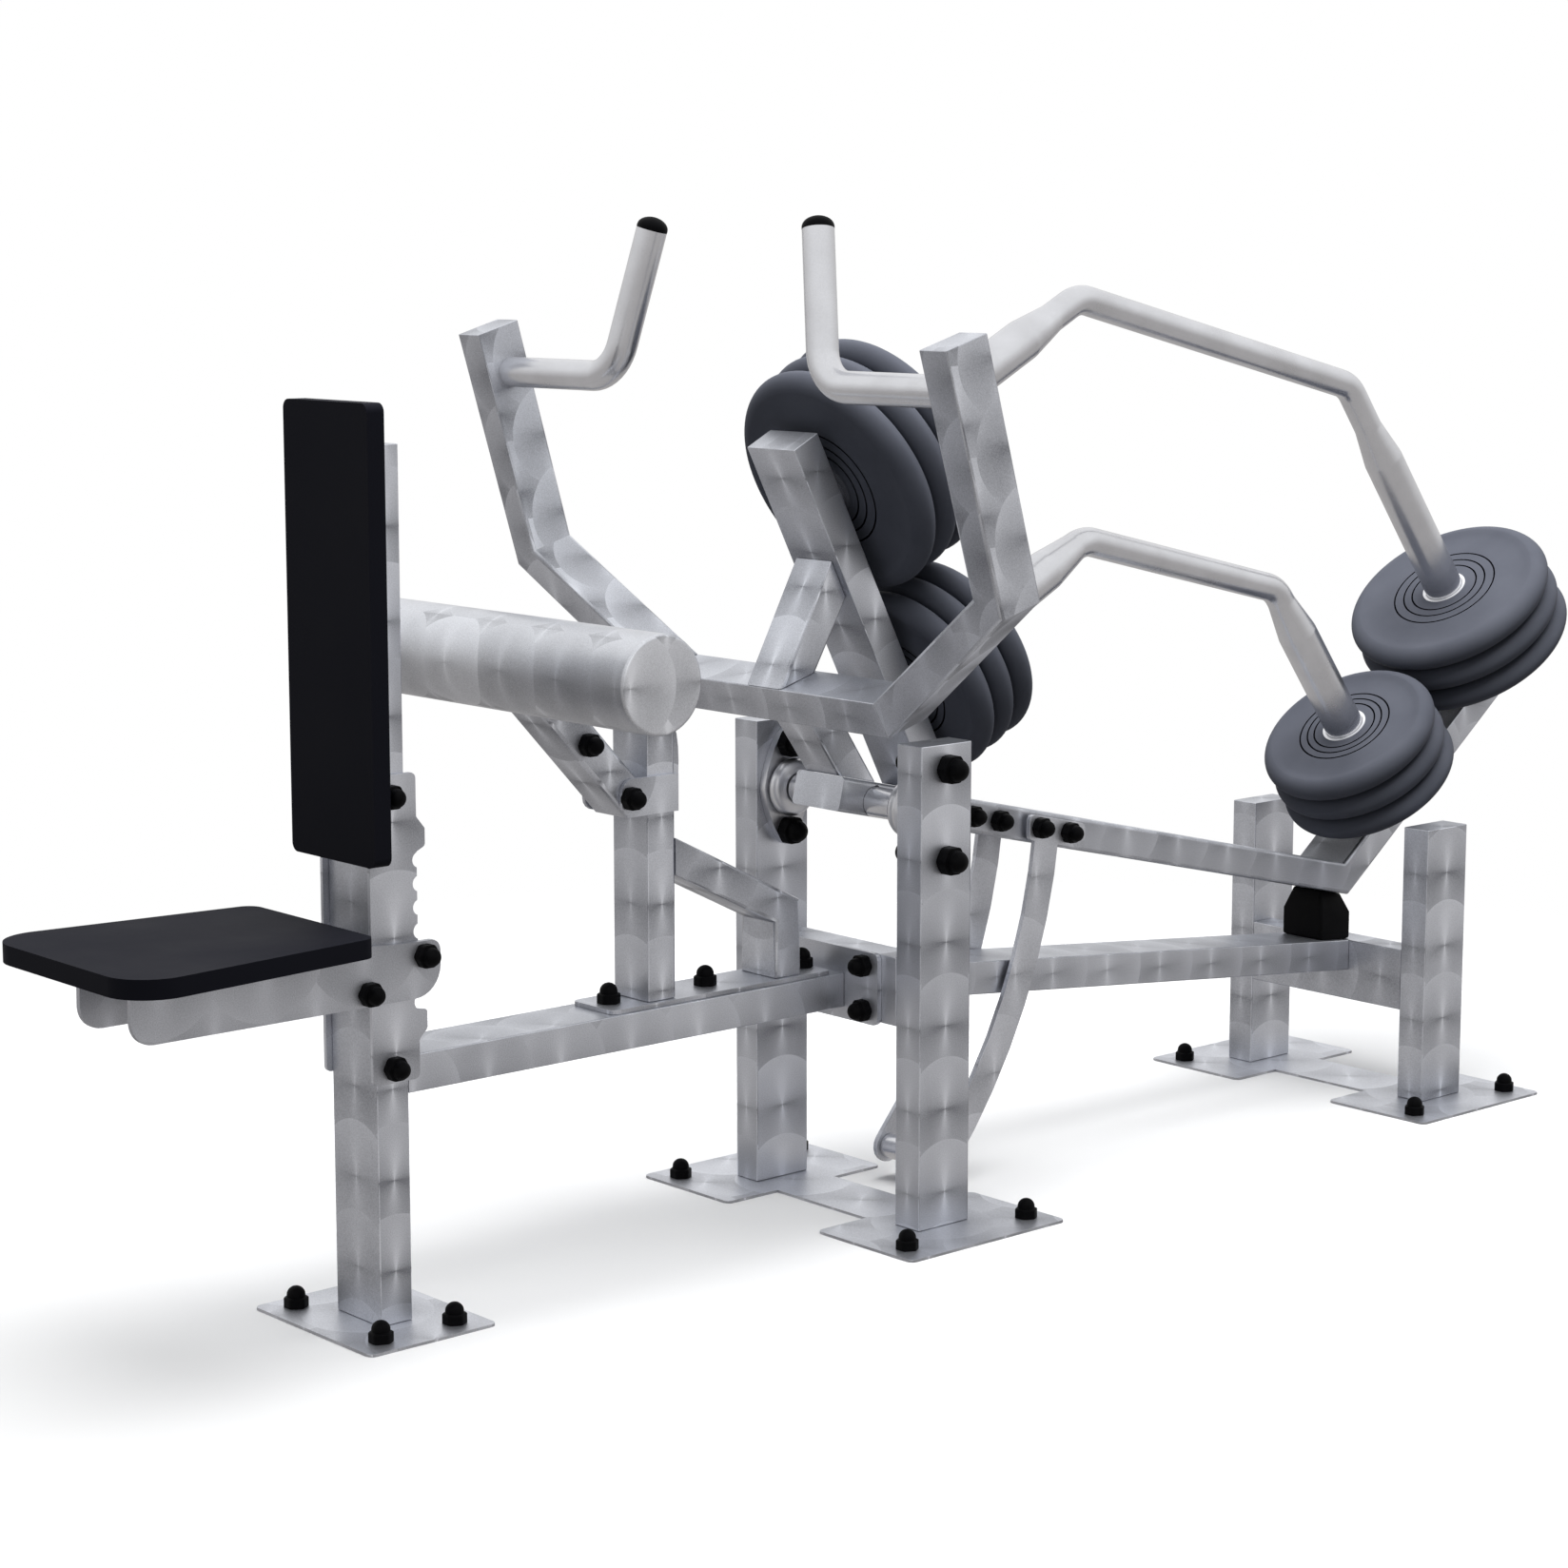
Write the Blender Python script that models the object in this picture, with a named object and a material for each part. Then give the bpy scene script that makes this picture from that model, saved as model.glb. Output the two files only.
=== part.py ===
"""Seated rower for an outdoor gym: rocking lever with sliding weight discs, chest pad
and a seat that hooks into a notched rack. Metres, +Z up, origin on the ground between
the two main columns, +Y from the seat towards the weights."""
import math

import bmesh
import bpy
from mathutils import Matrix, Vector

# Shared clearances and tube stock
FIT = 0.0003
OVERRUN = 0.002
WIDE = 0.100
MEDIUM = 0.075
NARROW = 0.050
TUBE_CORNER = 0.006
LEVER_PLATE = 0.008

# Ground plates
PLATE = 0.004
PLATE_CORNER = 0.010
BASE_HALF_X = 0.2935
BASE_HALF_Y = 0.153
PAD_X = 0.196
BRIDGE_HALF_Y = 0.0565
BASE_BOLT_X = 0.2475
BASE_BOLT_Y = 0.118
FRONT_PLATE_HALF_X = 0.135
FRONT_PLATE_HALF_Y = 0.100
FRONT_BOLT_X = 0.0975
FRONT_BOLT_Y = 0.058

# Main and rear columns with their cross beams
COLUMN_INNER_X = 0.150
COLUMN_TOP = 0.700
MAIN_CROSS_LOW = 0.294
REAR_Y = 1.1268
REAR_COLUMN_INNER_X = 0.1577
REAR_COLUMN_TOP = 0.454
REAR_CROSS_LOW = 0.150

# Front post, front beam and its flange
POST_FRONT_Y = -0.870
POST_TOP = 1.145
FRONT_BEAM_LOW = 0.307
FLANGE = 0.008
FLANGE_HALF_X = 0.120
FLANGE_LOW = 0.290
FLANGE_HIGH = 0.395
FLANGE_BOLT_X = 0.0925
FLANGE_BOLT_LOW = 0.310
FLANGE_BOLT_HIGH = 0.375

# Rear beam and the buffer on it
REAR_BEAM_TOP_Z = 0.3564
REAR_BEAM_FALL = math.radians(5.65)
BUFFER_FRONT_Y = 1.014
BUFFER_BACK_Y = 1.089
BUFFER_HALF_X = 0.041
BUFFER_SIDE = 0.045
BUFFER_INSET = 0.012

# Chest pad
PAD_HALF_X = 0.093
PAD_THICK = 0.026
PAD_LOW = 0.616
PAD_HIGH = 1.199
PAD_CORNER = 0.012
PAD_EDGE = 0.004

# Notched rack plates beside the post
RACK = 0.006
RACK_FRONT_Y = -0.879
RACK_BACK_Y = -0.806
RACK_TIP_Y = -0.793
RACK_LOW = 0.326
RACK_HIGH = 0.727
RACK_CORNER = 0.008
RACK_STEP_GAP = 0.004
NOTCH_COUNT = 7
NOTCH_PITCH = 0.031
NOTCH_RADIUS = 0.0105
NOTCH_Y = -0.8025
NOTCH_TOP_Z = 0.613
TOP_HOOK_LOW = 0.630
TOP_HOOK_HIGH = 0.653
TOP_HOOK_START = 0.669
LOW_HOOK_HIGH = 0.416
LOW_HOOK_LOW = 0.391
LOW_HOOK_START = 0.378
RACK_BOLT_Y = -0.847
RACK_BOLT_HIGH = 0.699
RACK_BOLT_LOW = 0.346

# Seat
SEAT_ARM = 0.008
ARM_FRONT_Y = -1.234
ARM_BACK_Y = -0.777
ARM_LOW = 0.434
ARM_TOP_FRONT = 0.5157
ARM_TOP_BACK = 0.508
ARM_STEP_START_Y = -0.950
ARM_STEP_END_Y = -0.830
ARM_FRONT_ROUND = 0.030
ARM_BACK_ROUND = 0.040
ARM_TOP_ROUND = 0.014
ROD_RADIUS = 0.010
FRONT_ROD_Y = -0.8895
FRONT_ROD_Z = 0.451
SEAT_ROD_NOTCH = 4
BOARD_THICK = 0.025
BOARD_FRONT_Y = -1.296
BOARD_BACK_Y = -0.9275
BOARD_FRONT_HALF_X = 0.1838
BOARD_BACK_HALF_X = 0.1412
BOARD_CORNER = 0.030
BOARD_EDGE = 0.005

# Foot drum, its column, strut and bracket
DRUM_Y = -0.603
DRUM_Z = 0.845
DRUM_RADIUS = 0.065
DRUM_HALF_X = 0.307
DRUM_RIM = 0.003
STRIP = 0.006
STRIP_FRONT_Y = -0.479
STRIP_BACK_Y = -0.078
STRIP_HALF_X = 0.045
STRIP_BOLT_Y = (-0.450, -0.277, -0.095)
DRUM_COLUMN_FRONT_Y = -0.410
DRUM_COLUMN_TOP = 0.806
COLUMN_HUMP_LOW = 0.640
COLUMN_HUMP_HIGH = 0.745
COLUMN_HUMP = 0.011
STRUT_TOP_Z = 0.587
STRUT_KNEE_Y = -0.131
STRUT_KNEE_Z = 0.473
STRUT_LEG_DEPTH = 0.047
BRACKET_FALL = math.radians(-46.8)
BRACKET_LOW_Y = -0.445
BRACKET_LOW_Z = 0.624
GUSSET = 0.006
GUSSET_FRONT_Y = -0.459
GUSSET_LOW = 0.626
GUSSET_HIGH = 0.678
GUSSET_ROUND = 0.018
BRACKET_BOLT_Y = -0.445
BRACKET_BOLT_Z = 0.652
BRACKET_UPPER_BOLT_Y = -0.512
BRACKET_UPPER_BOLT_Z = 0.731

# Pivot and bearings
PIVOT_Z = 0.600
AXLE_RADIUS = 0.022
STUB_RADIUS = 0.0123
BORE_RADIUS = 0.0125
BEARING_DEPTH = 0.035
BEARING_FLANGE = 0.012
BEARING_HUB_RADIUS = 0.045
BEARING_SHOULDER_RADIUS = 0.042
BEARING_SHOULDER = 0.018
BEARING_NOSE_RADIUS = 0.041
BEARING_EAR_RADIUS = 0.022
BEARING_BOLT_RISE = 0.065
BEARING_COLLAR_GAP = 0.002

# Lever beam with its upturned end
LEVER_RISE = 0.0025
LEVER_FALL = math.radians(-13.1)
LEVER_FRONT = 0.066
LEVER_END_ANGLE = math.radians(37.5)
KNEE_Y = 1.0680
END_PAST_FOOT = 0.0842
LEVER_BOLT_FRONT = 0.2005
LEVER_BOLT_REAR = 0.2585

# Lever post, leg and brace (angles from vertical)
POST_LEAN = math.radians(27.4)
LEVER_POST_Y = 0.1395
POST_PAST_FOOT = 0.0805
LEG_LEAN = math.radians(34.9)
LEG_START_Y = 0.003
BRACE_LEAN = math.radians(28.8)

# Handle frame: cross member, arms, handles
FRAME_LEAN = math.radians(16.6)
FRAME_FRONT = 0.0594
CROSS_TOP = 0.7908
CROSS_HALF_X = 0.235
ARM_X = 0.490
ARM_BEND = 0.9490
ARM_TOP = 1.2977
HANDLE_RADIUS = 0.022
HANDLE_BEND = 0.060
HANDLE_Z = 1.206
HANDLE_Y = -0.255
HANDLE_CORNER_X = 0.222
GRIP_TOP_X = 0.175
GRIP_TOP_Y = -0.223
GRIP_TOP_Z = 1.412
GRIP_CAP_HEIGHT = 0.0180
GRIP_CAP_BAND = 0.0030
CAP_ARC_SHARES = (0.3, 0.55, 0.8)
GRIP_CAP_LIP = 0.0222

# Weight tubes and discs
TUBE_THICK = 0.032
TUBE_THIN = 0.0225
TUBE_BEND = 0.060
LOWER_FOOT = 0.1730
DISC_SIDE_GAP = 0.0093
LOWER_NEAR_Z = 0.745
UPPER_RUN_RISE = 0.2892
LOWER_RUN_RISE = 0.2696
UPPER_THICK_NEAR = 0.470
UPPER_THICK_FAR = 0.432
LOWER_THICK_NEAR = 0.357
LOWER_THICK_FAR = 0.3435
TAPER = 0.055
UPPER_DISC_RADIUS = 0.1745
LOWER_DISC_RADIUS = 0.149
UPPER_DISC_THICK = 0.0462
LOWER_DISC_THICK = 0.0437
UPPER_COLLAR = 0.0185
LOWER_COLLAR = 0.0130
COLLAR_RADIUS = 0.044
DISC_BORE = 0.0325
HUB_RING = 0.0385
HUB_STEP = 0.0015
DISC_DISH = 0.004
DISC_FLAT_SHARE = 0.56
DISC_DISH_SHARE = 0.77
DISC_RIM_SHARE = 0.90
DISC_ROUND_SHARE = 0.98
DISC_SHOULDER_SHARE = 0.55
UPPER_GROOVES = (0.0570, 0.0720, 0.0887)
LOWER_GROOVES = (0.0532, 0.0653, 0.0784)
GROOVE_HALF = 0.0013
GROOVE_DEPTH = 0.0018

# Stirrup hanging from the lever
STIRRUP_WIDE = 0.050
STIRRUP_SPACER = 0.0055
SPACER_RADIUS = 0.014
STIRRUP_ARC_RADIUS = 0.840
STIRRUP_TOP = 0.3531
STIRRUP_END_Y = 0.131
STIRRUP_END_Z = 0.047
STIRRUP_FOOT_FORE = 0.0203
STIRRUP_FOOT_AFT = 0.0374
STIRRUP_FOOT_ABOVE = 0.0175
STIRRUP_FOOT_BELOW = 0.021
STIRRUP_BOLT_FRONT = 0.334
STIRRUP_BOLT_REAR = 0.398
STIRRUP_PIN = 0.0185

# Nut covers
NUT_RADIUS = 0.0160
NUT_SKIRT = 0.016
DOME_RADIUS = 0.013
DOME_HEIGHT = 0.0172
NUT_SINK = 0.0010
BIG_NUT_SCALE = 1.29
CORNER_HALF_ANGLE = math.radians(13)

# Facets
FINE_SIDES = 28
ROUND_SIDES = 24
TUBE_SIDES = 18
ROD_SIDES = 16
HANDLE_SIDES = 20
ARC_STEPS = 4
BEVEL_STEPS = 2
STIRRUP_STEPS = 8
SHARP = math.radians(35)

# Colours measured on the photograph
GALVANISED = ((0.42, 0.44, 0.47, 1.0), 0.42, 0.85)
BRIGHT_ZINC = ((0.55, 0.56, 0.58, 1.0), 0.25, 0.95)
DISC_RUBBER = ((0.035, 0.037, 0.043, 1.0), 0.55, 0.0)
PAD_BLACK = ((0.012, 0.012, 0.014, 1.0), 0.45, 0.0)
CAP_BLACK = ((0.008, 0.008, 0.009, 1.0), 0.40, 0.0)

# Side view runs along +Y and up +Z, plan view along +X and +Y
SIDE_VIEW = Matrix(((0, 0, 1), (1, 0, 0), (0, 1, 0)))
PLAN_VIEW = Matrix(((1, 0, 0), (0, 1, 0), (0, 0, 1)))
FRONT_VIEW = Matrix(((1, 0, 0), (0, 0, -1), (0, 1, 0)))


def clear_scene():
    for old in list(bpy.data.objects):
        bpy.data.objects.remove(old, do_unlink=True)


def make_material(name, finish):
    colour, roughness, metallic = finish
    material = bpy.data.materials.new(name)
    material.use_nodes = True
    shader = material.node_tree.nodes["Principled BSDF"]
    shader.inputs["Base Color"].default_value = colour
    shader.inputs["Roughness"].default_value = roughness
    shader.inputs["Metallic"].default_value = metallic
    material.diffuse_color = colour
    return material


def mesh_object(name, shape, finish):
    """Turn a bmesh into a named object with its own material and smooth round faces."""
    bmesh.ops.recalc_face_normals(shape, faces=shape.faces)
    mesh = bpy.data.meshes.new(name)
    shape.to_mesh(mesh)
    shape.free()
    mesh.shade_smooth()
    mesh.set_sharp_from_angle(angle=SHARP)
    piece = bpy.data.objects.new(name, mesh)
    bpy.context.scene.collection.objects.link(piece)
    if finish is not None:
        mesh.materials.append(make_material(name + " finish", finish))
    return piece


def make_axis(name, location):
    axis = bpy.data.objects.new(name, None)
    axis.location = location
    bpy.context.scene.collection.objects.link(axis)
    return axis


def hang(piece, axis):
    """Parent a piece to an empty without moving it, its origin on the empty."""
    origin = Vector(axis.location)
    parent = axis.parent
    while parent is not None:
        origin += Vector(parent.location)
        parent = parent.parent
    piece.data.transform(Matrix.Translation(-origin))
    piece.parent = axis
    return piece


def combine(piece, tool, operation):
    """Join a tool to a piece or cut it away, keeping the tool as a hidden guide."""
    tool.hide_render = True
    tool.display_type = "WIRE"
    change = piece.modifiers.new(tool.name, "BOOLEAN")
    change.operation = operation
    change.solver = "EXACT"
    change.object = tool
    return piece


# Lines in a view are (point, direction) pairs of 2D vectors


def heading(angle):
    return Vector((math.cos(angle), math.sin(angle)))


def leaning(angle):
    """Direction that leans back from vertical by the angle as it rises."""
    return Vector((-math.sin(angle), math.cos(angle)))


def beside(line, distance):
    point, along = line
    left = Vector((-along.y, along.x)).normalized()
    return (point + left * distance, along)


def meet(line_a, line_b):
    (pa, da), (pb, db) = line_a, line_b
    cross = da.x * db.y - da.y * db.x
    gap = pb - pa
    return pa + da * ((gap.x * db.y - gap.y * db.x) / cross)


def tube_shape(route, depth, view, low, high, first_cut, last_cut):
    """Rectangular tube along a route in a view, mitred at its bends and cut at both ends."""
    lines = [(a, (b - a).normalized()) for a, b in zip(route, route[1:])]
    cuts = [first_cut]
    cuts += [(b[0], (b[1] - a[1]).normalized()) for a, b in zip(lines, lines[1:])]
    cuts.append(last_cut)
    section = round_corners(box_outline(-depth / 2, depth / 2, low, high), [TUBE_CORNER] * 4, BEVEL_STEPS)
    shape = bmesh.new()
    rings = []
    for index, cut in enumerate(cuts):
        line = lines[min(index, len(lines) - 1)]
        ring = []
        for offset, level in section:
            spot = meet(beside(line, offset), cut)
            ring.append(shape.verts.new(view @ Vector((spot.x, spot.y, level))))
        rings.append(ring)
    bridge(shape, rings, False)
    return shape


def square_cut(point, along):
    return (point, Vector((-along.y, along.x)))


def round_corners(points, radii, steps=ARC_STEPS):
    """Replace each corner that has a radius by an arc."""
    outline = []
    count = len(points)
    for i, corner in enumerate(points):
        radius = radii[i]
        if radius == 0:
            outline.append(Vector(corner))
            continue
        back = (Vector(points[i - 1]) - corner).normalized()
        ahead = (Vector(points[(i + 1) % count]) - corner).normalized()
        half = back.angle(ahead) / 2
        centre = corner + (back + ahead).normalized() * (radius / math.sin(half))
        start = corner + back * (radius / math.tan(half)) - centre
        end = corner + ahead * (radius / math.tan(half)) - centre
        sweep = start.angle_signed(end)
        for step in range(steps + 1):
            turn = -sweep * step / steps
            c, s = math.cos(turn), math.sin(turn)
            outline.append(centre + Vector((start.x * c - start.y * s, start.x * s + start.y * c)))
    return outline


def box_outline(a_low, a_high, b_low, b_high):
    return [Vector(p) for p in ((a_low, b_low), (a_high, b_low), (a_high, b_high), (a_low, b_high))]


def extrude(outline, view, low, high, soft=(), radius=TUBE_CORNER, steps=BEVEL_STEPS):
    """Prism of a view's outline; the edges of the soft sides are rounded off."""
    shape = bmesh.new()
    rows = []
    for level in (low, high):
        rows.append([shape.verts.new(view @ Vector((p.x, p.y, level))) for p in outline])
    count = len(outline)
    for i in range(count):
        j = (i + 1) % count
        shape.faces.new((rows[0][i], rows[0][j], rows[1][j], rows[1][i]))
    shape.faces.new(rows[0][::-1])
    shape.faces.new(rows[1])
    edges = []
    for side in soft:
        for row in rows:
            edges.append(shape.edges.get((row[side], row[(side + 1) % count])))
    if edges:
        bmesh.ops.bevel(shape, geom=edges, offset=radius, segments=steps, profile=0.5, affect="EDGES")
    return shape


def ring_frame(along):
    """Two directions square to a given one."""
    along = Vector(along).normalized()
    guide = Vector((0, 0, 1)) if abs(along.z) < abs(along.x) + abs(along.y) else Vector((0, 1, 0))
    across = guide.cross(along).normalized()
    return across, along.cross(across)


def lathe(shape, profile, foot, along, angles):
    """Turn (radius, height) steps about an axis; zero radius closes to a point."""
    along = Vector(along).normalized()
    across, up = ring_frame(along)
    rings = []
    for radius, height in profile:
        centre = Vector(foot) + along * height
        if radius == 0:
            rings.append([shape.verts.new(centre)])
        else:
            rings.append([shape.verts.new(centre + (across * math.cos(a) + up * math.sin(a)) * radius)
                          for a in angles])
    return rings


def bridge(shape, rings, closed):
    """Skin a row of rings; a closed row joins its last ring to its first."""
    pairs = list(zip(rings, rings[1:]))
    if closed:
        pairs.append((rings[-1], rings[0]))
    for low, high in pairs:
        count = max(len(low), len(high))
        for i in range(count):
            j = (i + 1) % count
            if len(low) == 1:
                shape.faces.new((low[0], high[j], high[i]))
            elif len(high) == 1:
                shape.faces.new((low[i], low[j], high[0]))
            else:
                shape.faces.new((low[i], low[j], high[j], high[i]))
    if not closed:
        for ring in (rings[0][::-1], rings[-1]):
            if len(ring) > 2:
                shape.faces.new(ring)


def even_angles(sides):
    return [math.tau * i / sides for i in range(sides)]


def turned(profile, foot, along, sides, closed=False):
    shape = bmesh.new()
    bridge(shape, lathe(shape, profile, foot, along, even_angles(sides)), closed)
    return shape


def swept_tube(points, radii, bend, sides, steps=ARC_STEPS):
    """Round bar through points in one plane, rounded at the corners that turn."""
    points = [Vector(p) for p in points]
    stations = []
    for i, point in enumerate(points):
        before = (point - points[i - 1]).normalized() if i else None
        after = (points[i + 1] - point).normalized() if i + 1 < len(points) else None
        if before is None or after is None or before.angle(after) < SHARP / 10:
            stations.append((point, after or before, radii[i]))
            continue
        turn = before.angle(after)
        normal = before.cross(after).normalized()
        start = point - before * (bend * math.tan(turn / 2))
        centre = start + normal.cross(before) * bend
        for step in range(steps + 1):
            spin = Matrix.Rotation(turn * step / steps, 3, normal)
            stations.append((centre + spin @ (start - centre), spin @ before, radii[i]))
    normal = None
    for a, b in zip(points[1:], points[2:]):
        side = (a - points[0]).cross(b - a)
        if side.length > bend * bend / sides:
            normal = side.normalized()
            break
    shape = bmesh.new()
    rings = []
    for centre, along, radius in stations:
        up = along.cross(normal)
        rings.append([shape.verts.new(centre + (normal * math.cos(a) + up * math.sin(a)) * radius)
                      for a in even_angles(sides)])
    bridge(shape, rings, False)
    return shape


def nut_covers(name, places, scale=1.0):
    """Guide object holding domed nut covers that stand on the given feet."""
    corners = [math.tau * i / 6 + turn for i in range(6) for turn in (-CORNER_HALF_ANGLE, CORNER_HALF_ANGLE)]
    dome_rise = DOME_HEIGHT * scale
    profile = [(NUT_RADIUS * scale, -NUT_SINK), (NUT_RADIUS * scale, NUT_SKIRT * scale)]
    for share in (0.0, 0.5):
        angle = share * math.pi / 2
        height = NUT_SKIRT * scale + dome_rise * math.sin(angle)
        profile.append((DOME_RADIUS * scale * math.cos(angle), height))
    profile.append((0, NUT_SKIRT * scale + dome_rise))
    shape = bmesh.new()
    for foot, along in places:
        bridge(shape, lathe(shape, profile, foot, along, corners), False)
    return mesh_object(name, shape, None)


def with_nuts(piece, places, scale=1.0):
    return combine(piece, nut_covers(piece.name + " nut covers", places, scale), "UNION")


def mirrored(places):
    """Add the mirror image across X of each foot and direction."""
    return places + [((-x, y, z), (-a, b, c)) for (x, y, z), (a, b, c) in places]


def side_bar(name, outline, half_x, soft):
    return mesh_object(name, extrude(outline, SIDE_VIEW, -half_x, half_x, soft), GALVANISED)


def side_tube(name, route, depth, half_x, first_cut, last_cut):
    shape = tube_shape(route, depth, SIDE_VIEW, -half_x, half_x, first_cut, last_cut)
    return mesh_object(name, shape, GALVANISED)


def along_line(line):
    """Two points of a line, for a tube that has no bend."""
    point, along = line
    return [point, point + along]


def upright(y):
    return (Vector((y, 0)), Vector((0, 1)))


def level(z):
    return (Vector((0, z)), Vector((1, 0)))


def column(name, x_low, x_high, y_low, y_high, z_low, z_high):
    """Upright tube with rounded long edges."""
    outline = box_outline(y_low, y_high, z_low, z_high)
    shape = extrude(outline, SIDE_VIEW, x_low, x_high, soft=(1, 3))
    return mesh_object(name, shape, GALVANISED)


def both_sides(build, base_name):
    return [build(base_name + suffix, sign) for suffix, sign in (("_right", 1), ("_left", -1))]


def side_range(sign, low, high):
    return (low, high) if sign > 0 else (-high, -low)


# Ground plates


def h_plate(name, centre_y):
    """Ground plate of two wide pads joined by a narrower bridge."""
    pad = BASE_HALF_X - PAD_X
    half_y, waist = BASE_HALF_Y, BRIDGE_HALF_Y
    quarter = [(BASE_HALF_X, -half_y), (BASE_HALF_X, half_y), (pad, half_y), (pad, waist)]
    other = [(-pad, waist), (-pad, half_y), (-BASE_HALF_X, half_y), (-BASE_HALF_X, -half_y)]
    rest = [(-pad, -half_y), (-pad, -waist), (pad, -waist), (pad, -half_y)]
    points = [Vector((x, y + centre_y)) for x, y in quarter + other + rest]
    radii = [PLATE_CORNER] * 3 + [0, 0] + [PLATE_CORNER] * 4 + [0, 0] + [PLATE_CORNER]
    outline = round_corners(points, radii)
    plate = mesh_object(name, extrude(outline, PLAN_VIEW, 0, PLATE), GALVANISED)
    feet = [((BASE_BOLT_X, centre_y + s * BASE_BOLT_Y, PLATE), (0, 0, 1)) for s in (-1, 1)]
    return with_nuts(plate, mirrored(feet))


def front_plate():
    centre_y = POST_FRONT_Y + NARROW / 2
    outline = box_outline(-FRONT_PLATE_HALF_X, FRONT_PLATE_HALF_X,
                          centre_y - FRONT_PLATE_HALF_Y, centre_y + FRONT_PLATE_HALF_Y)
    outline = round_corners(outline, [PLATE_CORNER] * 4)
    plate = mesh_object("front_base_plate", extrude(outline, PLAN_VIEW, 0, PLATE), GALVANISED)
    feet = [((FRONT_BOLT_X, centre_y + s * FRONT_BOLT_Y, PLATE), (0, 0, 1)) for s in (-1, 1)]
    return with_nuts(plate, mirrored(feet))


# Columns and beams of the frame


def main_column(name, sign):
    """Main column with the two bearing bolts' covers on its outer face."""
    x_low, x_high = side_range(sign, COLUMN_INNER_X, COLUMN_INNER_X + NARROW)
    piece = column(name, x_low, x_high, -WIDE / 2, WIDE / 2, PLATE + FIT, COLUMN_TOP)
    outer = sign * (COLUMN_INNER_X + NARROW)
    feet = [((outer, 0, PIVOT_Z + s * BEARING_BOLT_RISE), (sign, 0, 0)) for s in (-1, 1)]
    return with_nuts(piece, feet, BIG_NUT_SCALE)


def rear_column(name, sign):
    x_low, x_high = side_range(sign, REAR_COLUMN_INNER_X, REAR_COLUMN_INNER_X + NARROW)
    return column(name, x_low, x_high, REAR_Y - WIDE / 2, REAR_Y + WIDE / 2, PLATE + FIT, REAR_COLUMN_TOP)


def cross_beam(name, inner_x, y_low, z_low):
    """Beam between two columns, flush with the front half of their width."""
    outline = round_corners(box_outline(y_low, y_low + NARROW, z_low, z_low + WIDE), [TUBE_CORNER] * 4, 2)
    half_x = inner_x - FIT
    return mesh_object(name, extrude(outline, SIDE_VIEW, -half_x, half_x), GALVANISED)


def front_post():
    front = POST_FRONT_Y
    return column("front_post", -WIDE / 2, WIDE / 2, front, front + NARROW, PLATE + FIT, POST_TOP)


def front_beam():
    flange_front = -WIDE / 2 - FLANGE
    outline = box_outline(POST_FRONT_Y + NARROW + FIT, flange_front - FIT,
                          FRONT_BEAM_LOW, FRONT_BEAM_LOW + NARROW)
    return side_bar("front_beam", outline, WIDE / 2, (0, 2))


def beam_flange():
    outline = round_corners(box_outline(-FLANGE_HALF_X, FLANGE_HALF_X, FLANGE_LOW, FLANGE_HIGH),
                            [PLATE_CORNER] * 4)
    shape = extrude(outline, FRONT_VIEW, WIDE / 2 + FIT, WIDE / 2 + FLANGE)
    plate = mesh_object("beam_flange", shape, GALVANISED)
    front = -WIDE / 2 - FLANGE
    feet = [((FLANGE_BOLT_X, front, z), (0, -1, 0)) for z in (FLANGE_BOLT_LOW, FLANGE_BOLT_HIGH)]
    return with_nuts(plate, mirrored(feet))


def rear_beam_top():
    return (Vector((0, REAR_BEAM_TOP_Z)), heading(-REAR_BEAM_FALL))


def rear_beam():
    axis = beside(rear_beam_top(), -NARROW / 2)
    rear_face = REAR_Y - WIDE / 2
    return side_tube("rear_beam", along_line(axis), NARROW, WIDE / 2, upright(FIT), upright(rear_face - FIT))


def lever_axis_line():
    """Centreline of the lever beam in side view."""
    return (Vector((0, PIVOT_Z + LEVER_RISE)), heading(LEVER_FALL))


def lever_spot(reach):
    """Point on the lever beam's centreline, that far from the pivot."""
    return Vector((0, PIVOT_Z + LEVER_RISE)) + heading(LEVER_FALL) * reach


def rubber_buffer():
    """Buffer block, narrowing towards the top, that the lever rests on."""
    base = beside(rear_beam_top(), FIT)
    top = beside(lever_axis_line(), -NARROW / 2 - FIT)
    up = Vector((0, 1))
    cross_top = REAR_CROSS_LOW + WIDE + FIT
    front = meet(base, upright(BUFFER_FRONT_Y))
    joint = meet(base, upright(REAR_Y - WIDE / 2))
    joint.y = max(joint.y, cross_top)
    back = Vector((BUFFER_BACK_Y, cross_top))
    top_back = meet(top, upright(BUFFER_BACK_Y - BUFFER_INSET))
    top_front = meet(top, upright(BUFFER_FRONT_Y + BUFFER_INSET))
    levels = [(back, front), (back + up * BUFFER_SIDE, front + up * BUFFER_SIDE), (top_back, top_front)]
    halves = (BUFFER_HALF_X, BUFFER_HALF_X, BUFFER_HALF_X - BUFFER_INSET)
    shape = bmesh.new()
    rings = []
    for (rear, fore), half in zip(levels, halves):
        corners = ((half, fore), (half, rear), (-half, rear), (-half, fore))
        rings.append([shape.verts.new((x, p.x, p.y)) for x, p in corners])
    joints = [shape.verts.new((x, joint.x, joint.y)) for x in (BUFFER_HALF_X, -BUFFER_HALF_X)]
    bridge_four(shape, rings, joints)
    return mesh_object("rubber_buffer", shape, CAP_BLACK)


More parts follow.
